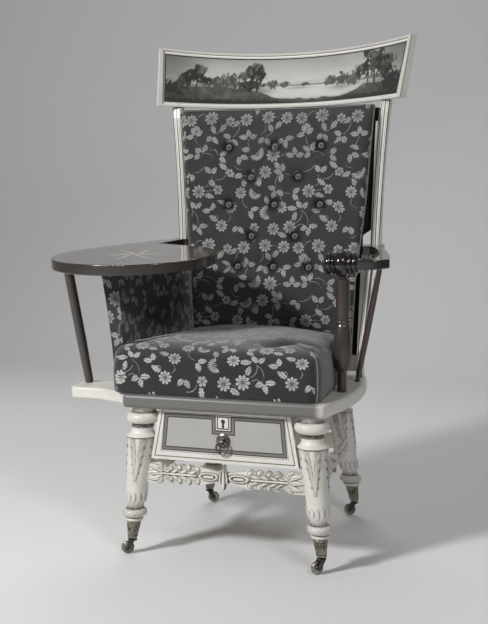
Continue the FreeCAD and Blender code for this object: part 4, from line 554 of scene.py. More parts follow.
def raise_blade(height, shade, x, z, root, tip, half, curl, rise, rib):
    """Adds one leaf to a carving: rounded across, with a dark edge and, if rib is set, a cut mid-rib."""
    out, s = blade(x, z, root, tip, half, curl)
    along = (s > 0) & (s < 1)
    swell = 0.55 + 0.45 * np.sin(math.pi * np.clip(s, 0, 1))
    body = np.where(along & (np.abs(out) < 1), rise * np.sqrt(np.clip(1 - out ** 2, 0, 1)) * swell, 0)
    if rib:
        body = body * (1 - 0.45 * hump(out, 0, 0.16))
    edge = along * hump(np.abs(out), 1.05, 0.20)
    shade = np.where(body > height, 0.30 * hump(out, 0, 0.14) * rib, np.maximum(shade, edge * 0.85))
    return np.maximum(height, body), shade


def raise_lobe(height, shade, x, z, root, head, size):
    """Adds a curled lobe: a stalk that widens from its root into a round head, with a crescent of painted
    shade round its outer side.
    """
    height, shade = raise_blade(height, shade, x, z, root, head, size * 0.62, size * 0.35, 0.8, False)
    dx, dz = x - head[0], z - head[1]
    far = np.hypot(dx, dz) / size
    way = np.array(head) - np.array(root)
    way = way / np.hypot(*way)
    outer = smooth((dx * way[0] + dz * way[1]) / size, -0.35, 0.45)
    curl = hump(far, 0.52, 0.12) * (1 - outer) * 0.9
    dome = np.sqrt(np.clip(1 - far ** 2, 0, 1)) - 0.35 * curl
    rim = np.maximum(shade, hump(far, 1.12, 0.15) * outer)
    return np.where(far < 1, np.maximum(dome, 0.3), height), np.where(far < 1, curl * 0.8, rim)


def branch(x, z, half, tall):
    """Height and shade of the carving at places from the middle of a stretcher (x, z both signed)."""
    ax, az = np.abs(x), np.abs(z)
    height, shade = np.zeros_like(x), np.zeros_like(x)
    for root, tip, wide, curl in PALMETTE:
        height, shade = raise_blade(height, shade, ax, z, (root[0] * half, root[1] * tall),
                                    (tip[0] * half, tip[1] * tall), wide * tall, curl, 0.9, True)
    for root, head, size in BRANCH_LOBES:
        for side in (1, -1):
            height, shade = raise_lobe(height, shade, ax, z * side, (root[0] * half, root[1] * tall),
                                       (head[0] * half, head[1] * tall), size * tall)
    stem_half = 0.075 * tall
    s = blade(ax, z, (0.24 * half, 0.0), (0.78 * half, 0.0), stem_half)[1]
    stem = (s > 0) & (s < 1) & (az < stem_half)
    height = np.where(stem, 1.0 - (z / stem_half) ** 2 * 0.5, height)
    groove = (s > 0) * (s < 1) * hump(az, 0.105 * tall, 0.0009)
    shade = np.where(stem, 0.0, np.maximum(shade, groove * 0.9))
    loop = np.hypot((ax - 0.185 * half) / (0.130 * half), z / (0.30 * tall))
    inner = (loop < 0.66) & ((az > 0.085 * tall) | (ax < 0.120 * half))
    ridge = np.where(loop > 0.66, 1.0 - ((loop - 0.83) / 0.17) ** 2 * 0.6, np.where(inner, 0.25, 0.9))
    height = np.where(loop < 1.0, ridge, height)
    shade = np.where(loop < 1.0, np.maximum(hump(loop, 0.60, 0.09), 0.35 * inner) * 0.95,
                     np.maximum(shade, hump(loop, 1.08, 0.08) * 0.95))
    out, s = blade(z, x, (-BOSS_REACH * tall, 0.0), (BOSS_REACH * tall, 0.0), BOSS_HALF)
    pointed = (s > 0) & (s < 1) & (np.abs(out) < 1)
    height = np.where(pointed, 1.15 - 0.6 * hump(np.abs(out), 0.46, 0.12), height)
    shade = np.where(pointed, 0.95 * hump(np.abs(out), 0.46, 0.13),
                     np.maximum(shade, (s > 0) * (s < 1) * hump(np.abs(out), 1.12, 0.18)))
    carved_part = (smooth(ax, 0.30 * half, 0.36 * half)
                   * smooth(-ax, -0.80 * half, -0.70 * half))
    # The low parts of the carving are painted darker: painted shade that brings out the relief.
    return height, np.maximum(shade, 0.34 * np.clip(1 - height * 2.2, 0, 1) * carved_part)


def sawn_edges(share):
    """Upper and lower edge of a stretcher as shares of half its height, at shares of half its length."""
    s = np.abs(share)
    lobes = 0.17 * np.abs(np.sin(math.pi * np.clip((s - 0.26) / 0.44, 0, 1) * 4))
    rise = 0.36 + 0.22 * smooth(s, 0.04, 0.26) + lobes * (s > 0.26) * (s < 0.70)
    rise = rise - 0.16 * hump(s, 0.715, 0.018) + 0.22 * smooth(s, 0.74, 0.80)
    rise = rise + 0.62 * hump(s, 0, 0.020)
    narrowed = smooth(s, 0.80, 0.92)
    return np.clip(rise - 0.10 * narrowed, 0, 1), np.clip(rise + 0.02 - 0.02 * narrowed, 0, 1)


def stretcher_sheet(half, high):
    """
    The closed skin of a carved stretcher, lying in x and z, with its face towards -y.

    A ring of points goes round the section at each x: down the carved face, under the sawn lower
    edge, up the flat back and over the upper edge.
    """
    x = np.linspace(-half, half, 520)
    middle, tall = (RAIL_LOW + high) / 2, (high - RAIL_LOW) / 2
    upper, lower = sawn_edges(x / half)
    t = np.linspace(0, 1, 64)
    z = middle + tall * (upper[:, None] * (1 - t) - lower[:, None] * t)
    wide = np.broadcast_to(x[:, None], z.shape)
    height, shade = branch(wide, z - middle, half, tall)
    edge = smooth(t, 0, 0.05) * smooth(1 - t, 0, 0.05)
    face = grid_of(wide, -height * CARVED_DEEP * (0.35 + 0.65 * edge), z)
    rear_z = z[:, ::-1][:, ::21]
    rear = grid_of(x[:, None], RAIL_BACK, rear_z)
    return np.concatenate([face, rear], axis=1), np.concatenate([shade, np.zeros(rear_z.shape)], axis=1)


def build_stretcher(name, points, shade, flip=False):
    """Places one carved stretcher over its solid."""
    build("carved_" + name, [{"points": points, "hollow": shade, "flip": flip, **CLOSED}],
          cream_carving, (name,), 50)


cream_carving = painted("cream_carving", age=0.75, hollow="hollow")
skin, shade = stretcher_sheet(FRONT_HALF, FRONT_HIGH)
build_stretcher("front_stretcher", skin + np.array([0, FRONT_Y, 0]), shade)
for side, name in ((-1, "left_stretcher"), (1, "right_stretcher")):
    low_corner, high_corner = (np.array(corner[:2]) - CENTRE[:2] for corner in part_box(name))
    left_x, right_x = low_corner[0], high_corner[0]
    front_x, back_x = (left_x, right_x) if side < 0 else (right_x, left_x)
    inset = side * SIDE_INSET
    front, rear = np.array([front_x - inset, low_corner[1]]), np.array([back_x + inset, high_corner[1]])
    long = np.hypot(*(rear - front))
    way = (rear - front) / long
    outward = np.array([way[1], -way[0]]) * (1 if way[1] * side > 0 else -1)
    middle = (front + rear) / 2 + outward * SIDE_OUT
    skin, shade = stretcher_sheet(float(long) / 2, SIDE_HIGH)
    x, y, z = skin[..., 0], skin[..., 1], skin[..., 2]
    placed = grid_of(middle[0] + way[0] * x - outward[0] * y, middle[1] + way[1] * x - outward[1] * y, z)
    build_stretcher(name, placed, shade, side > 0)
dress(painted("cream_plain", age=0.6), "back_stretcher", "low_back_rail", "case_left_side", "case_right_side")


# Seat board: one thick board with bowed sides, cream on its sides, with a flat grey front edge, and a
# bracket dowelled to its side that carries the writing board's post.
def seat_colour(tree, place):
    """Cream, with grey on the flat front edge that fades at the right corner."""
    x, y, _ = axes_of(tree, place)
    in_front = y.maths("LESS_THAN", float(CENTRE[1]) - 0.2360)
    across = x - float(CENTRE[0])
    across = (across + 0.014).maths("MAXIMUM", -across)
    return mixed(tree, in_front * ramped(across, 0.2060, 0.2200, 1.0, 0.25), CREAM, (0.140, 0.135, 0.128, 1))


dress(painted("seat_paint", seat_colour, 0.55), "seat_board", "writing_board_bracket")


# Drawer case: pine boards glued under the seat, and a painted face frame with splayed sides whose
# border carries fine lines. Inside, bare pine.
wood_grain, inside, outside = group(
    "wood_grain", {"Place": "Vector", "Light": "Color", "Dark": "Color"},
    {"Colour": "Color", "Height": "Float"})
rings = add(wood_grain, "TexWave", {"Vector": inside["Place"], "Scale": 5.0, "Distortion": 5.0, "Detail": 3.0,
                                    "Detail Scale": 1.6}, wave_type="BANDS", bands_direction="X")
fibre = noise(wood_grain, inside["Place"], 60.0, 4.0, 0.6)
streak = Value(rings.outputs["Fac"]) * 0.45 + fibre * 0.35
streak = (noise(wood_grain, inside["Place"], 3.0, 4.0, 0.55) * 0.35).maths("ADD", streak, clamp=True)
feed(outside["Colour"], mixed(wood_grain, streak, inside["Dark"], inside["Light"]))
feed(outside["Height"], fibre * 0.6 + streak)


def bare_pine(name, stretch):
    """Sawn pine whose grain runs along the axis with the smallest stretch."""
    material, tree, shader, place = finish(name, Roughness=0.72)
    made = use(tree, wood_grain, Place=stretched(tree, place, stretch), Light=(0.36, 0.27, 0.17, 1),
               Dark=(0.21, 0.145, 0.085, 1))
    join(shader, made["Colour"], None, made["Height"], 0.0004)
    return material


dress(bare_pine("pine_front_to_back", (14, 1.2, 14)), "drawer_left_side", "drawer_right_side",
      "drawer_runners", "drawer_floor", "bracket_dowels", "post_dowels")
dress(bare_pine("pine_side_to_side", (1.2, 14, 14)), "case_back", "drawer_back", "arm_back_rail")
LINE = (0.022, 0.020, 0.018, 1)
LINE_GREY = (0.095, 0.088, 0.082, 1)


def line_mask(value, middle, half):
    """1 where a value is within half of middle, with soft sides."""
    return ramped((value - middle).maths("ABSOLUTE"), half + 0.0003, half - 0.0003)


def from_middle(x):
    """Distance from the chair's centre line."""
    return (x - float(CENTRE[0])).maths("ABSOLUTE")


def inset_of(tree, place, low, high, low_half, high_half):
    """How far inside a symmetric trapezium a point lies, its distance from the middle and its height."""
    x, _, up = axes_of(tree, place)
    across = from_middle(x)
    slope = (high_half - low_half) / (high - low)
    side = up * slope + (low_half - slope * low) - across
    return side.maths("MINIMUM", (up - low).maths("MINIMUM", -up + high)), across, up


def frame_colour(tree, place):
    """One grey line near the frame's opening."""
    inset, _, _ = inset_of(tree, place, 0.207, 0.330, 0.157, 0.1335)
    return mixed(tree, line_mask(inset, 0.0070, 0.0010), CREAM, LINE_GREY)


dress(painted("face_frame_paint", frame_colour), "drawer_face_frame")


# Drawer front: a grey field inside a dark double line that steps round the keyhole plate, on cream.
def drawer_colour(tree, place):
    """The field and its lines, at distances from the drawer's edges and from the plate."""
    inset, across, up = inset_of(tree, place, 0.2243, 0.3400, 0.1362, 0.1250)
    to_plate = (across - 0.0150).maths("MAXIMUM", -up + 0.2750)
    stepped = inset.maths("MINIMUM", -up + 0.3065).maths("MINIMUM", to_plate + 0.0015)
    colour = mixed(tree, ramped(stepped, 0.0095, 0.0102), (0.66, 0.64, 0.60, 1), (0.375, 0.366, 0.350, 1))
    for middle, half, paint in ((0.0068, 0.0030, (0.165, 0.158, 0.150, 1)), (0.0034, 0.0011, LINE),
                                (0.0102, 0.0011, LINE)):
        colour = mixed(tree, line_mask(stepped, middle, half), colour, paint)
    return colour


def plate_colour(tree, place):
    """A square line round the plate, and a dark keyhole painted larger than the cut one: painted shade of its
    opening.
    """
    x, _, up = axes_of(tree, place)
    across, lift = from_middle(x), up - 0.2925
    border = across.maths("MAXIMUM", (up - 0.290).maths("ABSOLUTE"))
    round_hole = (lift * lift + across * across).maths("SQRT").maths("LESS_THAN", 0.0045)
    slot = (lift + 0.0065).maths("ABSOLUTE").maths("LESS_THAN", 0.0065) * across.maths("LESS_THAN", 0.0026)
    colour = mixed(tree, line_mask(border, 0.0120, 0.0012), CREAM, LINE)
    return mixed(tree, round_hole.maths("MAXIMUM", slot), colour, LINE)


dress(painted("drawer_front_paint", drawer_colour, 0.35, depth=0.0004), "drawer_front")
dress(painted("keyhole_plate_paint", plate_colour, 0.4, depth=0.0004, coat=(0.2, 0.3)), "keyhole_plate")
dress(metal("lock_steel", (0.42, 0.42, 0.43, 1), (0.13, 0.12, 0.11, 1)), "lock_case", "lock_bolt")
dress(metal("pull_brass", (0.21, 0.195, 0.165, 1), (0.045, 0.04, 0.034, 1)), "pull_rosette", "pull_ring")


# Back posts: a lower pair that rises from the seat and swells outwards, and an upper pair that stands
# on the arms and leans outwards to the crest. All are cream with thin dark stripes along them.
def parabola(heights, places):
    """Coefficients a, b, c of the parabola a + b z + c z**2 through three (height, place) pairs."""
    c, b, a = np.polyfit(heights, places, 2)
    return float(a), float(b), float(c)


def striped(name, bow, lines):
    """
    Cream paint striped along the front and back of a post whose middle follows the parabola bow;
    each line is (offset outwards, half width, colour).
    """
    def colour_at(tree, place):
        """The stripes at a place, left off the post's sides."""
        x, _, up = axes_of(tree, place)
        out = from_middle(x) - (up * bow[1] + bow[0] + up * up * bow[2])
        colour = CREAM
        for offset, half, paint in lines:
            colour = mixed(tree, line_mask(out, offset, half), colour, paint)
        beside = normal_of(tree)[0].maths("ABSOLUTE").maths("GREATER_THAN", 0.8)
        return mixed(tree, beside, colour, CREAM)

    return painted(name, colour_at, 0.4, depth=0.0005)


STRIPE, STRIPE_PALE = (0.035, 0.032, 0.029, 1), (0.17, 0.16, 0.15, 1)
dress(striped("striped_upper_post", parabola([0.66, 0.81, 0.962], [0.2325, 0.2395, 0.2505]), [
    (-0.0085, 0.0011, STRIPE), (-0.0045, 0.0006, STRIPE_PALE), (0.0000, 0.0012, STRIPE),
    (0.0050, 0.0006, STRIPE_PALE), (0.0088, 0.0012, STRIPE)]), "left_upper_post", "right_upper_post")
dress(striped("striped_lower_post", parabola([0.341, 0.49, 0.63], [0.2035, 0.2125, 0.2240]), [
    (-0.0060, 0.0008, STRIPE), (-0.0020, 0.0004, STRIPE_PALE), (0.0060, 0.0030, STRIPE),
    (0.0125, 0.0006, STRIPE_PALE)]), "left_lower_post", "right_lower_post")


# The upper posts' tenons sit a little further back in the crest than the frame's do, so that their
# tips stay inside the hollowed board.
TENON_LOW, TENON_BACK = 0.9585, 0.0045
for name in ("left_upper_post", "right_upper_post"):
    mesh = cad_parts[name].data.copy()
    for vertex in mesh.vertices:
        if vertex.co.z > TENON_LOW:
            vertex.co.y += TENON_BACK
    piece = bpy.data.objects.new("striped_" + name, mesh)
    bpy.context.scene.collection.objects.link(piece)
    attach(piece, "chair")
    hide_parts(name)


# Crest: a broad board, hollowed and leaning back, cream at its edges, with a landscape painted on its
# face inside a thin moulding. The picture is a plain river valley with hills, trees and cloud.
CREST_LOW, CREST_HIGH, CREST_WIDE = 0.956, 1.110, 0.3213
PANEL_SHAPE, FILM_GAP, PICTURE_TALL = (141, 561), 0.00025, 0.070
PALE_EDGE, DARK_LINE = 0.0028, 0.0050


def crest_y(x, up):
    """Place of the crest's hollow face at x and a share of its height: an arc that widens upwards."""
    half = 0.287 + (0.3033 - 0.287) * up
    sag = 0.080 + (0.088 - 0.080) * up
    end_y = 0.140 + (0.199 - 0.140) * up
    radius = (half ** 2 + sag ** 2) / (2 * sag)
    return (end_y - (radius - sag)) + np.sqrt(radius ** 2 - x ** 2)


for name, colour, age, node in (("crest_cream", (0.74, 0.72, 0.67, 1), 0.35, "crest_board"),
                                ("crest_bead", (0.50, 0.485, 0.45, 1), 0.8, "crest_moulding")):
    dress(painted(name, colour, age, depth=0.0005, coat=(0.15, 0.28)), node)


def lattice(x, y, seed):
    """Smooth noise from 0 to 1 with one random value at each whole place."""
    size = 97
    table = np.random.default_rng(seed).uniform(0, 1, (size, size))
    x0, y0 = np.floor(x).astype(int), np.floor(y).astype(int)
    fx, fy = smooth(x - x0, 0, 1), smooth(y - y0, 0, 1)
    left, right, low, high = x0 % size, (x0 + 1) % size, y0 % size, (y0 + 1) % size
    near = table[low, left] * (1 - fx) + table[low, right] * fx
    far = table[high, left] * (1 - fx) + table[high, right] * fx
    return near * (1 - fy) + far * fy


def clouded(x, y, seed, octaves=5):
    """Noise from 0 to 1 that adds finer and weaker layers."""
    total = sum(lattice(x * 2 ** n, y * 2 ** n, seed + n) / 2 ** n for n in range(octaves))
    return total / sum(1 / 2 ** n for n in range(octaves))


def crowns(s, t, places):
    """Density of a group of trees: the strongest of many soft ovals, each (s, t, half width, half height)."""
    ovals = [np.exp(-((s - x) / wide) ** 2 - ((t - y) / tall) ** 2) for x, y, wide, tall in places]
    return np.max(ovals, axis=0)


def toward(level, paint, cover):
    """A grey level moved towards a paint's by a share."""
    return level + (paint - level) * cover


def foliage(level, s, t, places, seed, dark, light):
    """Paints feathery trees over a picture, lit from the upper left."""
    grain = clouded(s * 15, t * 15, seed, 3)
    dense = crowns(s, t, places)
    cover = smooth(dense + 1.15 * (grain - 0.5) * np.clip(dense * 3, 0, 1), 0.34, 0.62)
    lit = clouded(s * 11 + 0.25, t * 11 - 0.3, seed + 20, 4)
    lit = smooth(lit, 0.38, 0.70) * smooth(t, 0.15, 0.75)
    return toward(level, dark + (light - dark) * lit, cover)


MIRRORED = [(-0.9, 0.30, 0.50, 0.08), (1.9, 0.31, 0.40, 0.07), (0.4, 0.34, 0.5, 0.03)]
WOODS = [(-0.45, 0.44, 0.22, 0.10), (-0.10, 0.42, 0.20, 0.06), (1.55, 0.44, 0.24, 0.10),
         (1.95, 0.46, 0.24, 0.14), (0.65, 0.41, 0.14, 0.04), (-1.95, 0.50, 0.34, 0.16),
         (-2.35, 0.46, 0.30, 0.14), (2.35, 0.44, 0.26, 0.14)]
TALL_TREES = [(-1.30, 0.42, 0.50, 0.12), (-1.20, 0.68, 0.34, 0.18), (-0.98, 0.58, 0.24, 0.12),
              (-1.48, 0.60, 0.24, 0.12), (-1.14, 0.80, 0.20, 0.10), (-3.05, 0.64, 0.34, 0.18),
              (-3.40, 0.50, 0.28, 0.16), (-2.78, 0.50, 0.22, 0.12), (3.10, 0.70, 0.42, 0.24),
              (2.70, 0.60, 0.30, 0.16), (3.50, 0.60, 0.34, 0.26), (2.92, 0.86, 0.34, 0.12),
              (-3.75, 0.30, 0.40, 0.16), (3.70, 0.30, 0.40, 0.20)]
# Trunks: s at the root, foot and head in t, lean, half width.
TRUNKS = [(-1.22, 0.26, 0.66, 0.10, 0.030), (-1.02, 0.26, 0.58, -0.14, 0.022),
          (-3.05, 0.28, 0.60, 0.08, 0.024), (3.12, 0.26, 0.62, -0.16, 0.034), (2.86, 0.24, 0.50, 0.10, 0.020)]
SHORE = 0.385


def landscape(s, t):
    """
    Grey level of the painted panel at places s (heights along, from the middle) and t (0 to 1 up).

    From the back to the front: a sky that brightens to the horizon, far hills in haze, a still lake
    that mirrors them, woods on both shores, tall trees left of the middle and at the right end, and
    a dark bank with reeds along the front.
    """
    level = 0.82 - 0.30 * t ** 1.5 + 0.10 * (clouded(s * 0.9, t * 4.0, 3) - 0.5)
    hill = 0.16 * (clouded(s * 0.7 + 4.0, 0 * t, 11) - 0.35) * smooth(np.abs(s + 0.4), 0.2, 2.2)
    level = np.where(t < 0.47 + hill, 0.62 + 0.10 * t + 0.08 * (clouded(s * 6, t * 12, 13) - 0.5), level)
    near = 0.12 * (clouded(s * 1.3 + 9.0, 0 * t, 17) - 0.3) * smooth(np.abs(s - 0.9), 0.3, 1.8)
    level = np.where(t < 0.41 + near, 0.44 + 0.14 * (clouded(s * 8, t * 16, 19) - 0.4), level)
    water = 0.78 - 0.10 * (0.38 - t) - 0.20 * smooth(np.abs(s - 0.7), 0.9, 2.8)
    level = np.where(t < SHORE, water + 0.10 * (clouded(s * 1.6, t * 26, 23) - 0.5), level)
    mirror = crowns(s, t, MIRRORED) * (t < SHORE)
    level = level - 0.30 * mirror * (0.6 + 0.4 * clouded(s * 2, t * 30, 29))
    level = foliage(level, s, t, WOODS, 31, 0.24, 0.46)
    bank = np.maximum(0.12 + 0.24 * smooth(-s, 0.0, 1.6), 0.10 + 0.22 * smooth(s, 1.6, 3.2))
    bank = bank + 0.10 * (clouded(s * 2.2, 0 * t, 37) - 0.5)
    ground = 0.15 + 0.24 * clouded(s * 5, t * 13, 41) + 0.12 * np.clip(t - bank + 0.12, 0, 1)
    level = toward(level, ground, smooth(bank - t, -0.015, 0.025))
    for x, low, high, lean, wide in TRUNKS:
        trunk = smooth(wide * (1.25 - t) - np.abs(s - x - lean * (t - low)), -0.004, 0.010)
        level = toward(level, 0.11, trunk * ((t > low) & (t < high)))
    level = foliage(level, s, t, TALL_TREES, 47, 0.12, 0.36)
    reeds = 0.05 + 0.12 * clouded(s * 22, t * 2, 53, 3) * smooth(np.abs(s - 0.8), 0.4, 1.4)
    level = toward(level, 0.10, smooth(reeds - t, -0.02, 0.02) * 0.8)
    # The picture darkens towards its ends and towards its bottom.
    edge_darkening = (1 - 0.30 * smooth(np.abs(s), 2.5, 4.0)) * (1 - 0.22 * smooth(-t, -0.22, 0.0))
    return np.clip(level * edge_darkening, 0.04, 0.95)


# The painted panel is a film 0.25 mm in front of the board, inside the moulding, with a pale edge
# and a dark line round the picture.
up_share, along_share = np.linspace(0, 1, PANEL_SHAPE[0])[:, None], np.linspace(-1, 1, PANEL_SHAPE[1])
panel_x = along_share * (0.2785 + 0.0155 * up_share)
rise = (panel_x / CREST_WIDE) ** 2
low_edge, high_edge = 0.9655 + 0.0075 * rise, 1.0825 + 0.017 * rise
panel_z = low_edge + (high_edge - low_edge) * up_share
panel_y = crest_y(panel_x, (panel_z - CREST_LOW) / (CREST_HIGH - CREST_LOW)) - FILM_GAP
picture = landscape(panel_x / PICTURE_TALL, np.broadcast_to(up_share, PANEL_SHAPE))
to_edge = np.minimum(np.minimum(up_share, 1 - up_share) * 0.115, (1 - np.abs(along_share)) * 0.28)
picture = np.where(to_edge < PALE_EDGE, 0.74, np.where(to_edge < DARK_LINE, 0.06, picture))
panel_paint, tree, shader, place = finish("landscape_panel", Coat_Weight=0.35, Coat_Roughness=0.18)
strokes = noise(tree, stretched(tree, place, (1, 1, 3.5)), 190.0, 5.0, 0.7)
tint = add(tree, "ValToRGB", {"Fac": mark_of(tree, "level") * (strokes * 0.16 + 0.92)})
ramp = tint.color_ramp
ramp.elements[0].color = (0.008, 0.008, 0.007, 1)
ramp.elements[1].color = (0.72, 0.70, 0.66, 1)
for position, colour in [(0.12, (0.014, 0.014, 0.012, 1)), (0.28, (0.062, 0.064, 0.056, 1)),
                         (0.45, (0.175, 0.175, 0.163, 1)), (0.65, (0.40, 0.395, 0.375, 1))]:
    ramp.elements.new(position).color = colour
fine = add(tree, "TexVoronoi", {"Vector": place, "Scale": 160.0}, feature="DISTANCE_TO_EDGE")
join(shader, tint.outputs["Color"], strokes * 0.2 + 0.32,
     strokes + ramped(Value(fine.outputs["Distance"]), 0.0, 0.02), 0.0002)
build("painted_landscape", [{"points": grid_of(panel_x, panel_y, panel_z), "level": picture}], panel_paint,
      ())


# Floral cloth: a dark figured velvet with pale daisies, leaves and thin stems. The pattern is a
# distance to the nearest motif's edge, worked out at each vertex and turned to colour by the material.
REPEAT, MOTIF_COLUMNS, MOTIF_ROWS = (0.264, 0.294), 6, 7
PLAIN = -0.01
KIND_SHARES = (0.38, 0.18, 0.10, 0.34)  # rosette, small flower, fan, spray of leaves
SPRAY = 3
FLOWER_KINDS = [(0.0150, 9, 3.2), (0.0110, 6, 3.2), (0.0165, 11, 1.9)]  # size, petals, half spread
scatter = np.random.default_rng(23)
FLOWERS, LEAVES, STEMS = [], [], []
for column in range(MOTIF_COLUMNS):
    for row in range(MOTIF_ROWS):
        fx = (column + 0.5 * (row % 2) + scatter.uniform(-0.15, 0.15)) * REPEAT[0] / MOTIF_COLUMNS
        fy = (row + scatter.uniform(-0.15, 0.15)) * REPEAT[1] / MOTIF_ROWS
        kind = scatter.choice(4, p=KIND_SHARES)
        turn = scatter.uniform(0, 2 * math.pi)
        if kind == SPRAY:
            size, ways = 0.0025, [turn, turn + 1.35, turn - 1.35][:scatter.integers(2, 4)]
        else:
            full_size, petals, spread = FLOWER_KINDS[kind]
            size = full_size * scatter.uniform(0.90, 1.08)
            FLOWERS.append((fx, fy, size, petals, turn, spread))
            ways = [turn + scatter.uniform(1.6, 4.6)]
        for way in ways:
            long = scatter.uniform(0.0215, 0.0275) * (0.86 if kind == SPRAY else 1)
            LEAVES.append((fx + size * 1.05 * math.cos(way), fy + size * 1.05 * math.sin(way), way + 0.25,
                           long, 0.0074))
        if scatter.uniform() < 0.85:
            reach = scatter.uniform(0.032, 0.046)
            STEMS.append((fx + size * math.cos(turn + 3.4), fy + size * math.sin(turn + 3.4),
                          fx + reach * math.cos(turn + 3.6), fy + reach * math.sin(turn + 3.6),
                          scatter.choice((-0.007, 0.007))))


def apart(u, v, x, y):
    """How far (u, v) lies from (x, y) or from its nearest repeat, along both axes."""
    return tuple((value + period / 2) % period - period / 2 for value, period in zip((u - x, v - y), REPEAT))


def stem_depth(u, v, x0, y0, x1, y1, bow):
    """Distance into a stem, an arc of even width."""
    dx, dy = apart(u, v, (x0 + x1) / 2, (y0 + y1) / 2)
    long = math.hypot(x1 - x0, y1 - y0)
    wx, wy = (x1 - x0) / long, (y1 - y0) / long
    s = (dx * wx + dy * wy) / long + 0.5
    across = -dx * wy + dy * wx - bow * (1 - (2 * s - 1) ** 2)
    return np.where((s > 0.0) & (s < 1.0), 0.00065 - np.abs(across), PLAIN)


def leaf_depth(u, v, x, y, way, long, half):
    """Distance into a leaf with a toothed edge, parted by its rib and veins, and where it lies."""
    dx, dy = apart(u, v, x + long / 2 * math.cos(way), y + long / 2 * math.sin(way))
    s = (dx * math.cos(way) + dy * math.sin(way)) / long + 0.5
    across = np.abs(dx * math.sin(way) - dy * math.cos(way))
    tooth = ((s - across / half * 0.16) * 4.3 + 0.2) % 1
    width = half * np.sin(math.pi * np.clip(s, 0, 1) ** 0.72) * (1.0 - 0.52 * tooth ** 1.5)
    vein = (0.40 - np.abs(tooth - 0.5)) * long / 4.3 + np.where(across < half * 0.25, 0.0012, 0.0004)
    edge = np.minimum(width - across, np.minimum(s, 1 - s) * long)
    near = (s > -0.05) & (s < 1.05) & (across < width + 0.0012)
    return np.minimum(edge, np.minimum(across - 0.00060, vein)), near


def flower_depth(u, v, x, y, size, petals, turn, spread):
    """Distance into a flower's petals, its inner ring and its eye, and where it lies."""
    dx, dy = apart(u, v, x, y)
    far, angle = np.hypot(dx, dy), np.angle(np.exp(1j * (np.arctan2(dy, dx) - turn)))
    step = 2 * min(spread, math.pi) / petals
    depth = size * 0.10 - far
    for shift, place, long, fill in ((0.0, 0.74, 0.27, 0.74), (0.5, 0.36, 0.125, 0.66)):
        off = (angle / step - np.round(angle / step - shift) - shift) * step
        half = size * place * math.tan(step / 2) * fill
        petal = np.hypot((far * np.cos(off) - size * place) / (size * long), far * np.sin(off) / half)
        tip = np.where(np.abs(angle) < spread, (1 - petal) * min(half, size * long), -0.004)
        depth = np.maximum(depth, np.maximum(tip, -0.004))
    return depth, far < size * 1.12


def floral(u, v):
    """Distance in metres into the motifs (below 0 outside them) at places (u, v) on the cloth."""
    most = np.full(np.shape(u), PLAIN)
    for stem in STEMS:
        most = np.maximum(most, stem_depth(u, v, *stem))
    for motifs, depth_of in ((LEAVES, leaf_depth), (FLOWERS, flower_depth)):
        for motif in motifs:
            depth, near = depth_of(u, v, *motif)
            most = np.where(near, depth, most)
    return most


weave, inside, outside = group(
    "velvet_weave", {"Cloth": "Vector", "Place": "Vector", "Ground": "Color", "Figure": "Color",
                     "Motif": "Float", "Fade": "Float", "Dim": "Float"}, SURFACE)
ribs = add(weave, "TexWave", {"Vector": inside["Cloth"], "Scale": 420.0, "Distortion": 1.2, "Detail": 1.0},
           wave_type="BANDS", bands_direction="Y")
pile = noise(weave, inside["Place"], 900.0, 3.0, 0.7)
tone = noise(weave, inside["Place"], 22.0, 4.0, 0.6)
motif = Value(inside["Motif"])
edge = ramped(motif, -0.00025, 0.0003) * ramped(motif, 0.0016, 0.0024, 1.0, 0.55)
# The piece's painted shade mark darkens the cloth here.
lit = (pile * 0.55 + 0.62) * (tone * 0.5 + 0.78) * (-Value(inside["Dim"]) + 1.0)
figure = edge * ramped(tone, 0.42, 0.68, 1.0, 0.55) * (-Value(inside["Fade"]) + 1.0)
grey = add(weave, "CombineColor", {0: lit, 1: lit, 2: lit}).outputs[0]
cloth_colour = mixed(weave, figure, inside["Ground"], inside["Figure"])
feed(outside["Colour"], mixed(weave, 1.0, cloth_colour, grey, "MULTIPLY"))
feed(outside["Roughness"], figure * -0.18 + 0.92)
feed(outside["Height"], Value(ribs.outputs["Fac"]) * 0.35 + pile * 0.8 + figure * 0.8)


def velvet(name, ground, figure, sheen=0.35):
    """
    A figured velvet. The piece's own marks give the pattern, how far it washes out and how much
    painted shade darkens the cloth; where ground is a pair, one more mark mixes it towards its paler
    colour as painted sheen.
    """
    material, tree, shader, place = finish(name, Sheen_Weight=sheen, Sheen_Roughness=0.4,
                                           Specular_IOR_Level=0.2)
    if len(ground) == 2:
        # The paler ground colour is painted sheen.
        ground = mixed(tree, mark_of(tree, "bloom"), *ground)
    marks = {label: mark_of(tree, label.lower()) for label in ("Motif", "Fade", "Dim")}
    cloth = add(tree, "UVMap", uv_map="weave").outputs[0]
    made = use(tree, weave, Cloth=cloth, Place=place, Ground=ground, Figure=figure, **marks)
    join(shader, made["Colour"], made["Roughness"], made["Height"], 0.0006)
    return material


floral_velvet = velvet("floral_velvet", (0.046, 0.046, 0.047, 1), (0.48, 0.47, 0.45, 1))


# Back pad: a stuffed pad between the posts, hollowed to the sitter's back, tufted with thirteen
# buttons and creased across at the lowest row; pale cord is sewn along its front edges.
PAD_LOW, PAD_HIGH, PAD_HALF = 0.398, 0.952, 0.229
PAD_FRONT, PAD_DEEP = 0.108, 0.074
PAD_CORNER, PAD_END, PAD_HOLLOW = 0.016, 0.012, 0.022
TUFT_DEEP, TUFT_FOLD, PAD_LUMPS, BUTTON_SUNK = 0.0098, 0.0032, 0.0009, 0.0060
CORD, TOP_CORD, CUSHION_CORD = 0.0015, 0.0014, 0.0013
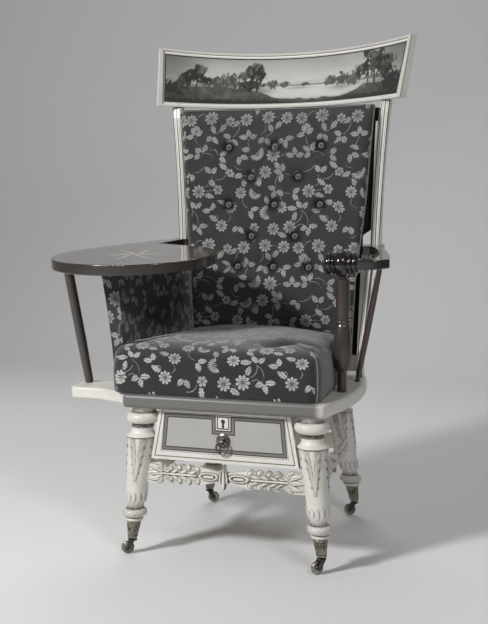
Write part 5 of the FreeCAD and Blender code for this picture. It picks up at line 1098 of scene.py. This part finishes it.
# Shares of PAD_HALF and PAD_DEEP at shares of the height: half width, depth of the front's middle and
# edges, and of the rear.
PAD_HEIGHTS = [0.0, 0.130, 0.292, 0.341, 0.401, 0.617, 0.838, 0.960, 1.0]
PAD_WIDE = [0.820, 0.838, 0.856, 0.868, 0.884, 0.940, 0.978, 1.000, 1.0]
PAD_MIDDLE = [0.135, 0.108, 0.189, 0.310, 0.243, 0.405, 0.459, 0.595, 0.865]
PAD_EDGE = [0.054, 0.0, 0.0, 0.120, 0.10, 0.215, 0.270, 0.360, 0.520]
PAD_REAR = [0.514, 0.568, 0.649, 0.662, 0.676, 0.703, 0.703, 0.703, 0.703]
BUTTONS = [(0.838, -0.480), (0.838, 0.0), (0.838, 0.480), (0.713, -0.245), (0.713, 0.245),
           (0.599, -0.476), (0.599, 0.0), (0.599, 0.476), (0.469, -0.227), (0.469, 0.227),
           (0.341, -0.371), (0.341, 0.0), (0.341, 0.371)]
FOLDS = [(0, 3), (1, 3), (1, 4), (2, 4), (3, 5), (3, 6), (4, 6), (4, 7), (5, 8), (6, 8), (6, 9), (7, 9),
         (8, 10), (8, 11), (9, 11), (9, 12)]


def along_pad(high, values):
    """A pad size at a share of its height, smoothed over its corners."""
    fine = np.linspace(-0.1, 1.1, 1201)
    line = np.interp(fine, PAD_HEIGHTS, values)
    soft = np.exp(-(np.linspace(-2, 2, 41)) ** 2)
    line = np.convolve(np.pad(line, 20, mode="edge"), soft / soft.sum(), mode="valid")
    return np.interp(high, fine, line)


def pad_height(share):
    """Height of a place on the pad, from its share."""
    return PAD_LOW + (PAD_HIGH - PAD_LOW) * share


def pad_face(x, high):
    """Depth of the pad's front at places x and shares of its height, before tufting."""
    half = PAD_HALF * along_pad(high, PAD_WIDE)
    out = np.clip(np.abs(x) / (half - PAD_CORNER), 0, 1)
    middle, edge = along_pad(high, PAD_MIDDLE), along_pad(high, PAD_EDGE)
    return PAD_FRONT + PAD_DEEP * (edge + (middle - edge) * (1 - out ** 2))


def tufting(x, z):
    """
    How far the cloth is drawn in at (x, z): a funnel to each button, and a shallow fold along each
    line between neighbouring buttons.
    """
    deep = np.zeros_like(x)
    places = [(PAD_HALF * across, pad_height(high)) for high, across in BUTTONS]
    for px, pz in places:
        far = np.hypot(x - px, (z - pz) * 1.05)
        deep = np.maximum(deep, TUFT_DEEP * np.exp(-(np.maximum(far - 0.0066, 0) / 0.0100) ** 1.1))
    for first, second in FOLDS:
        (ax, az), (bx, bz) = places[first], places[second]
        long = math.hypot(bx - ax, bz - az)
        wx, wz = (bx - ax) / long, (bz - az) / long
        s = ((x - ax) * wx + (z - az) * wz) / long
        across = np.abs(-(x - ax) * wz + (z - az) * wx)
        sink = np.where((s > 0) & (s < 1), 1 - 1.6 * s * (1 - s), 0)
        deep = np.maximum(deep, TUFT_FOLD * np.exp(-(across / 0.0060) ** 1.3) * sink)
    return deep


def soft_noise(x, z, seed, scale, count=14):
    """Slow lumps in stuffing: a sum of sine waves with seeded directions."""
    draw = np.random.default_rng(seed)
    total = np.zeros_like(x)
    for _ in range(count):
        angle, turn = draw.uniform(0, 2 * math.pi), draw.uniform(0, 2 * math.pi)
        size = draw.uniform(0.6, 1.8) * scale
        total = total + np.sin((x * math.cos(angle) + z * math.sin(angle)) * size + turn)
    return total / math.sqrt(count)


roll = np.linspace(0, 1, 9)[:-1] * PAD_END
high = np.concatenate([roll, np.linspace(PAD_END, 1 - PAD_END, 410), 1 - roll[::-1]])[:, None]
from_end = np.minimum(np.minimum(high, 1 - high), PAD_END)
shrink = np.sqrt(np.clip(1 - ((PAD_END - from_end) / PAD_END) ** 2, 0, 1))
half = PAD_HALF * along_pad(high, PAD_WIDE)
rear_y = PAD_FRONT + PAD_DEEP * along_pad(high, PAD_REAR)
flat = np.linspace(-1, 1, 330)
front_x = flat * (half - PAD_CORNER)
front_z = pad_height(high + 0 * front_x)
front_y = pad_face(front_x, high) + tufting(front_x, front_z)
front_y = front_y - soft_noise(front_x, front_z, 5, 38.0) * PAD_LUMPS
edge_y = pad_face(half - PAD_CORNER, high)
turns = np.linspace(0, math.pi / 2, 10)[1:]
side_x = half - PAD_CORNER + PAD_CORNER * np.sin(turns)
side_y = edge_y + PAD_CORNER - PAD_CORNER * np.cos(turns)
down = np.linspace(0, 1, 8)[1:]
wall_x = half - 0.010 * down - 0.003 * np.sin(math.pi * down)
wall_y = edge_y + PAD_CORNER + (rear_y - edge_y - PAD_CORNER) * down
rear_half = half - 0.010
rear_x = np.linspace(1, -1, 42)[1:-1] * rear_half
rear_line = rear_y + PAD_HOLLOW * (1 - (rear_x / rear_half) ** 2)
ring_x = np.hstack([front_x, side_x, wall_x, rear_x, -wall_x[:, ::-1], -side_x[:, ::-1]])
ring_y = np.hstack([front_y, side_y, wall_y, rear_line, wall_y[:, ::-1], side_y[:, ::-1]])
ring_z = pad_height(high) + 0 * ring_x
middle_y = (front_y.mean(axis=1, keepdims=True) + rear_y) / 2
ring_y = middle_y + (ring_y - middle_y) * (0.80 + 0.20 * shrink)
ring_x = ring_x * (0.985 + 0.015 * shrink)
steps = np.hypot(np.diff(ring_x, axis=1), np.diff(ring_y, axis=1))
u = np.hstack([np.zeros((len(high), 1)), np.cumsum(steps, axis=1)])
u = u - u[:, len(flat) // 2][:, None]
last_step = np.hypot(ring_x[:, :1] - ring_x[:, -1:], ring_y[:, :1] - ring_y[:, -1:])
u_closed = np.hstack([u, u[:, -1:] + last_step])
# The pattern washes out a little everywhere and more towards the top. Round the buttons it washes out further
# and the cloth is darkened: painted shade in the tufts.
drawn = tufting(ring_x, ring_z) / TUFT_DEEP * (ring_y < middle_y)
pad_washout_and_shade = 0.12 + 0.22 * smooth(ring_z, 0.80, 0.95) + 0.5 * smooth(drawn, 0.3, 0.9)
pad = build("tufted_back_pad", [{
    "points": grid_of(ring_x, ring_y, ring_z), "motif": floral(u + 0.021, ring_z - 0.046),
    "uv": np.stack(np.broadcast_arrays(u_closed, ring_z[:, :1]), axis=-1),
    "fade": np.clip(pad_washout_and_shade, 0, 0.95), "dim": np.clip(0.85 * smooth(drawn, 0.08, 0.75), 0, 0.8),
    **CLOSED}], floral_velvet, ("back_pad",), 70)


def cord_sheet(path, radius, sides=10):
    """A round cord of a radius along a path of points: circles square to the path, joined up."""
    way = np.gradient(path, axis=0)
    way /= np.linalg.norm(way, axis=1, keepdims=True)
    guide = np.array([0.31, 0.83, 0.46])
    first = np.cross(way, guide)
    first /= np.linalg.norm(first, axis=1, keepdims=True)
    second = np.cross(way, first)
    turn = np.linspace(0, 2 * math.pi, sides, endpoint=False)
    rings = path[:, None, :] + radius * (np.cos(turn)[None, :, None] * first[:, None, :]
                                         + np.sin(turn)[None, :, None] * second[:, None, :])
    return {"points": rings, **CLOSED}


# The cord lies on the pad's rounded edges and along its top.
piping_cloth = velvet("piping_velvet", (0.17, 0.165, 0.155, 1), (0.30, 0.29, 0.27, 1), 0.2)
lay = math.radians(70)
seam = grid_of(half[:, 0] - PAD_CORNER + PAD_CORNER * math.sin(lay),
               edge_y[:, 0] + PAD_CORNER - PAD_CORNER * math.cos(lay), ring_z[:, 0])[4:-4][::3]
top_x = flat[::6] * (half[-8, 0] - PAD_CORNER)
top_y = pad_face(top_x, np.full(top_x.shape, 0.992)) - 0.0005
top_seam = grid_of(top_x, top_y, PAD_HIGH - 0.003)
build("back_pad_piping", [cord_sheet(seam, CORD), cord_sheet(seam * np.array([-1, 1, 1]), CORD),
                          cord_sheet(top_seam, TOP_CORD)], piping_cloth, (), 80)
button_profile = np.array([
    (0.0002, -0.0043), (0.0020, -0.0042), (0.0036, -0.0037), (0.0050, -0.0034), (0.0060, -0.0031),
    (0.0067, -0.0020), (0.0068, -0.0008), (0.0060, 0.0004), (0.0002, 0.0006)])
reach, rise = button_profile[:, :1], button_profile[:, 1:]
round_button = np.linspace(0, 2 * math.pi, 28, endpoint=False)
# A pale ring is painted round each button's rim: a painted highlight.
button_rim_highlight = np.where(np.abs(reach - 0.0055) < 0.0012, 0.0008, -0.004)
buttons = []
for share, across in BUTTONS:
    x, z = PAD_HALF * across, pad_height(share)
    y = float(pad_face(np.array([x]), np.array([share]))[0]) + BUTTON_SUNK
    grid = grid_of(x + reach * np.cos(round_button), y + rise, z + reach * np.sin(round_button))
    buttons.append({"points": grid, "motif": button_rim_highlight, **CLOSED})
button_cloth = velvet("button_velvet", (0.085, 0.083, 0.08, 1), (0.30, 0.29, 0.27, 1), 0.5)
build("covered_buttons", buttons, button_cloth, ("back_buttons",), 70)


# Back cover: plain dark cloth stretched over the back of the frame, tacked along its edges.
# Each row: height, half width and depth.
COVER_ROWS = np.array([(0.352, 0.1945, 0.1563), (0.388, 0.1945, 0.1563), (0.621, 0.1995, 0.1785),
                       (0.660, 0.1995, 0.1785), (0.672, 0.2180, 0.1785), (0.945, 0.2270, 0.1785)])
levels = np.linspace(COVER_ROWS[0, 0], COVER_ROWS[-1, 0], 150)[:, None]
cover_half, cover_y = (np.interp(levels, COVER_ROWS[:, 0], COVER_ROWS[:, i]) for i in (1, 2))
across = np.linspace(-1, 1, 90)
cover_x = across * cover_half
slack = 0.0012 * soft_noise(cover_x, levels, 9, 30.0) * (1 - across ** 2)
cover_line = cover_y + PAD_HOLLOW * (1 - across ** 2)
rear = grid_of(cover_x, cover_line + 0.0026 - np.abs(slack) * 0.4, levels)
near = grid_of(cover_x, cover_line + 0.0004, levels)
cover_cloth = velvet("cover_cloth", (0.045, 0.045, 0.047, 1), (0.1, 0.1, 0.1, 1), 0.1)
cover = np.concatenate([near, rear[:, ::-1]], axis=1)
build("stretched_back_cover", [{"points": cover, "motif": PLAIN, **CLOSED}], cover_cloth, ("back_cover",),
      60)


# Seat cushion: a deep loose cushion, floral on its front and crowned top, with a plain band let into
# its sides and cord in the seams. Its top and side bands are painted paler as sheen, the pattern
# washes out over the top, and the fold is painted darker as shade.
CUSHION_BASE, CUSHION_TALL, CUSHION_CORNER = 0.3415, 0.1285, 0.022
CUSHION_CORNERS = np.array([(-0.194, 0.100), (-0.2225, -0.240), (0.201, -0.240), (0.178, 0.100)])
CUSHION_MIDDLE = np.array([-0.004, -0.060])
WALL_SHARE, SHOULDER_SHARE, SHOULDER_IN = 0.58, 0.25, 0.034
FOLD_DEEP, EAR_OUT, TOP_FROM, TOP_FULL = 0.0190, 0.0155, 0.080, 0.116
SHOULDER_TURN = math.radians(66)
ARC_POINTS, SIDE_POINTS = 14, (200, 250)


def cushion_outline():
    """
    The cushion's plan as a closed path anticlockwise from the back left corner, with each point's
    outward direction: four straight sides joined by arcs.
    """
    ways = np.roll(CUSHION_CORNERS, -1, axis=0) - CUSHION_CORNERS
    ways = ways / np.linalg.norm(ways, axis=1, keepdims=True)
    arrivals = np.roll(ways, 1, axis=0)
    bends = np.arccos(np.clip((arrivals * ways).sum(axis=1), -1, 1))
    cuts = CUSHION_CORNER * np.tan(bends / 2)
    points, outs = [], []
    for index in range(4):
        here, following = CUSHION_CORNERS[index], (index + 1) % 4
        normal = np.array([arrivals[index][1], -arrivals[index][0]])
        middle = here - arrivals[index] * cuts[index] - normal * CUSHION_CORNER
        turn = math.atan2(normal[1], normal[0]) + np.linspace(0, bends[index], ARC_POINTS)
        out = np.stack([np.cos(turn), np.sin(turn)], axis=1)
        begin = here + ways[index] * cuts[index]
        end = CUSHION_CORNERS[following] - ways[index] * cuts[following]
        side = begin + (end - begin) * np.linspace(0, 1, SIDE_POINTS[index % 2] + 2)[1:-1, None]
        points += [middle + CUSHION_CORNER * out, side]
        outs += [out, np.broadcast_to((ways[index][1], -ways[index][0]), side.shape)]
    return np.concatenate(points), np.concatenate(outs)


# Its rings of points climb the walls, turn over the shoulder and close in over the crown.
plan, outward = cushion_outline()
wall = np.linspace(0, WALL_SHARE, 64)
angle = np.linspace(0, 1, 40)[1:] * SHOULDER_TURN
crown = np.linspace(0, 1, 120)[1:]
wall_in = 0.0040 * (1 - np.minimum(wall / 0.05, 1)) ** 2
wall_in = wall_in - 0.0030 * np.sin(math.pi * np.minimum(wall / 0.60, 1))
shoulder_in = SHOULDER_IN * (1 - np.cos(angle)) / (1 - math.cos(SHOULDER_TURN))
rim = plan - outward * SHOULDER_IN
rings = [plan - outward * inset for inset in np.concatenate([wall_in, shoulder_in])]
rings += [rim + (CUSHION_MIDDLE - rim) * min(share, 0.985) for share in crown]
crown_base = WALL_SHARE + SHOULDER_SHARE
levels = np.concatenate([wall, WALL_SHARE + SHOULDER_SHARE * np.sin(angle) / math.sin(SHOULDER_TURN),
                         crown_base + (1 - crown_base) * np.sin(crown * math.pi / 2)])
cx, cy = np.moveaxis(np.array(rings), -1, 0)
cz = CUSHION_BASE + CUSHION_TALL * levels[:, None] + 0 * cx


def shaped_cushion():
    """
    The cushion's points, and how deep its fold runs: a valley over the front right corner, lumps,
    a wavy front, and a front left corner that is drawn out past the side panel.
    """
    on_top = smooth(cz, CUSHION_BASE + TOP_FROM, CUSHION_BASE + TOP_FULL)
    fold_y = -0.202 + 0.098 * np.clip((cx - 0.050) / 0.155, 0, 1) ** 1.4
    dent = FOLD_DEEP * smooth(cx, 0.020, 0.130) * hump(cy, fold_y, 0.019) * on_top
    lumps = soft_noise(cx, cy, 21, 26.0) * 0.0012 * on_top
    z = np.minimum(cz - dent + lumps - 0.0010 * on_top, CUSHION_BASE + CUSHION_TALL)
    waves = 0.0035 * np.sin(cx * 34 + 0.6) * smooth(z, 0.350, 0.39) * (1 - on_top)
    y = np.where(cy < -0.2, -0.200 + (cy + 0.200) * (1 + waves * 4), cy)
    ear = smooth(-y, 0.2135, 0.2270) * smooth(-cx, 0.170, 0.2200)
    return grid_of(cx - EAR_OUT * ear, y, z), dent


cushion, dent = shaped_cushion()
cx, cy, cz = np.moveaxis(cushion, -1, 0)
lay = (cz - CUSHION_BASE) + (cy + 0.240)
side_out = np.abs(outward[:, 0]) * (1 - smooth(cz, CUSHION_BASE + TOP_FROM, CUSHION_BASE + 0.104))
band = side_out > 0.62
seat_ground_and_sheen = ((0.034, 0.034, 0.036, 1), (0.135, 0.132, 0.128, 1))
seat_velvet = velvet("seat_velvet", seat_ground_and_sheen, (0.60, 0.585, 0.56, 1), 0.4)
# Painted light: over the top and the side bands the ground is mixed towards its paler colour as painted
# sheen, less so in the fold, where the cloth is also darkened as painted shade; the pattern washes out over
# the top.
seat = build("loose_seat_cushion", [{
    "points": cushion, "uv": np.stack([cx + 0.7 * cy * (side_out > 0.6), cz + cy], axis=-1),
    "motif": np.where(band, PLAIN, floral(cx + 0.012, lay + 0.012)),
    "fade": np.clip(0.04 + 0.80 * smooth(lay, 0.075, 0.21), 0, 0.86),
    "bloom": np.clip(0.80 * smooth(lay, 0.060, 0.20) + 0.60 * band - 42.0 * dent, 0, 1),
    "dim": np.clip(52.0 * dent, 0, 0.72), **CLOSED}], seat_velvet, ("seat_cushion",), 75)
front_seams = (ARC_POINTS + SIDE_POINTS[0] + ARC_POINTS // 2,
               2 * ARC_POINTS + sum(SIDE_POINTS) + ARC_POINTS // 2)
cords = [cord_sheet(cushion[2:92, seam] + np.append(outward[seam] * 0.0006, 0), CUSHION_CORD)
         for seam in front_seams]
build("seat_cushion_piping", cords, piping_cloth, (), 80)


# Side panel: a padded board that closes the side under the writing board, covered like the cushion.
ARM_LEAN, ARM_BACK, ARM_TOP, ARM_THICK = math.radians(5.14), 0.159, 0.651, 0.022
PANEL_BASE, PANEL_FRONT, PANEL_LONG = 0.3415, -0.212, 0.330


def panel_ring(y, soften):
    """Section of the side panel at y: its inner face upwards, then its outer face downwards."""
    share = (y - PANEL_FRONT) / PANEL_LONG
    shift = 0.026 * share
    top = ARM_TOP - ARM_THICK / math.cos(ARM_LEAN) + math.tan(ARM_LEAN) * (y - ARM_BACK) - 0.0006
    high = np.linspace(0, 1, 190)
    z = PANEL_BASE + (top - PANEL_BASE) * high
    inner_line = [-0.229 + shift, -0.2255 + shift, -0.234 + 0.028 * share]
    inner = np.interp(z, [PANEL_BASE, 0.442, top], inner_line) + 0.0035 * np.sin(math.pi * high) ** 0.7
    low_out, top_out = -0.239 + shift, -0.272 + 0.040 * share
    outer = low_out + (top_out - low_out) * high + 0.004 * np.sin(math.pi * high)
    middle = (inner + outer) / 2
    inner, outer = middle + (inner - middle) * (1 - soften), middle + (outer - middle) * (1 - soften)
    x = np.concatenate([inner, outer[::-1]])
    return grid_of(x, y, np.concatenate([z, z[::-1]]))


stations = [(PANEL_FRONT, 1 - e * 0.985) for e in np.linspace(0, 1, 22)[:-1]]
stations += [(y, 0.0) for y in np.linspace(-0.2112, 0.118, 230)]
panel = np.array([panel_ring(y, soften) for y, soften in stations])
x, y, z = np.moveaxis(panel, -1, 0)
panel_u = np.where(y < PANEL_FRONT + 0.0005, x + 0.2, -y)
panel_piece = build("padded_side_panel", [{
    "points": panel, "uv": np.stack([panel_u, z], axis=-1), "fade": 0.12, "flip": True,
    "motif": floral(panel_u + 0.055, z - 0.03), **CLOSED}],
    floral_velvet, ("side_panel",), 60)


# Writing board: a broad tongue of veneered hardwood on the left arm, falling gently to the front,
# with an inlaid line round its edge and a compass star; its post and the neck are of the same wood.
STAR_X = float(CENTRE[0]) - 0.223
STAR_Y = float(CENTRE[1]) + ARM_BACK - 0.307 * math.cos(ARM_LEAN)
EDGE_LINE = 0.1610


def polished(name, stretch, light, dark, rough, coat, recolour=None):
    """
    Polished wood; the grain runs along the axis with the smallest stretch. recolour changes its
    colour at places, as a function of tree, place and colour.
    """
    material, tree, shader, place = finish(name, Coat_Weight=coat, Coat_Roughness=0.10)
    made = use(tree, wood_grain, Place=stretched(tree, place, stretch), Light=light, Dark=dark)
    colour = recolour(tree, place, made["Colour"]) if recolour else made["Colour"]
    join(shader, colour, noise(tree, place, 9.0, 5.0) * 0.22 + (rough - 0.11), made["Height"], 0.00012)
    return material


def from_star(tree, place):
    """Distance and angle of a point from the star's middle, measured in the board's plane."""
    x, y, _ = axes_of(tree, place)
    x, y = x - STAR_X, (y - STAR_Y) / math.cos(ARM_LEAN)
    return (x * x + y * y).maths("SQRT"), y.maths("ARCTAN2", x)


def edge_line(tree, place, colour):
    """A pale line inlaid in the board's face round its end, and the board's sides painted darker as shade."""
    far, _ = from_star(tree, place)
    facing = normal_of(tree)[2]
    line = line_mask(far, EDGE_LINE, 0.0009) * facing.maths("GREATER_THAN", 0.7)
    # The board's sides are darkened: painted shade.
    side = mixed(tree, 0.62, colour, (0.008, 0.006, 0.005, 1))
    side_shaded = mixed(tree, facing.maths("GREATER_THAN", 0.55), side, colour)
    return mixed(tree, line, side_shaded, (0.33, 0.26, 0.18, 1))


def star_halves(tree, place, colour):
    """Each point of the star is light on one side of its ridge and dark on the other."""
    _, angle = from_star(tree, place)
    turn = (angle / (math.pi / 4) + 8.0).maths("FRACT")
    return mixed(tree, turn.maths("GREATER_THAN", 0.5), colour, (0.52, 0.46, 0.37, 1))


dress(polished("board_veneer", (9, 1.6, 9), (0.078, 0.056, 0.042, 1), (0.022, 0.015, 0.011, 1), 0.19, 0.75,
               edge_line), "writing_board")
dress(polished("star_veneer", (9, 1.6, 9), (0.050, 0.034, 0.025, 1), (0.020, 0.014, 0.010, 1), 0.20, 0.7,
               star_halves), "star_inlay")
dress(polished("board_post_wood", (26, 26, 2.0), (0.072, 0.058, 0.049, 1), (0.024, 0.018, 0.015, 1), 0.34,
               0.35), "writing_board_post")


# Right arm: a hooked flat arm with a turned roll at its front, a vase-shaped post under the roll and
# a slender spindle; all in dark wood under a hard gloss. The back's top rail has the same wood.
dress(polished("dark_arm_wood", (12, 3.0, 12), (0.016, 0.011, 0.009, 1), (0.004, 0.003, 0.003, 1), 0.16, 0.7),
      "right_arm", "arm_roll", "top_back_rail")
dress(polished("dark_turned_wood", (26, 26, 2.2), (0.062, 0.044, 0.036, 1), (0.020, 0.014, 0.012, 1), 0.30,
               0.35), "right_arm_post", "right_spindle")
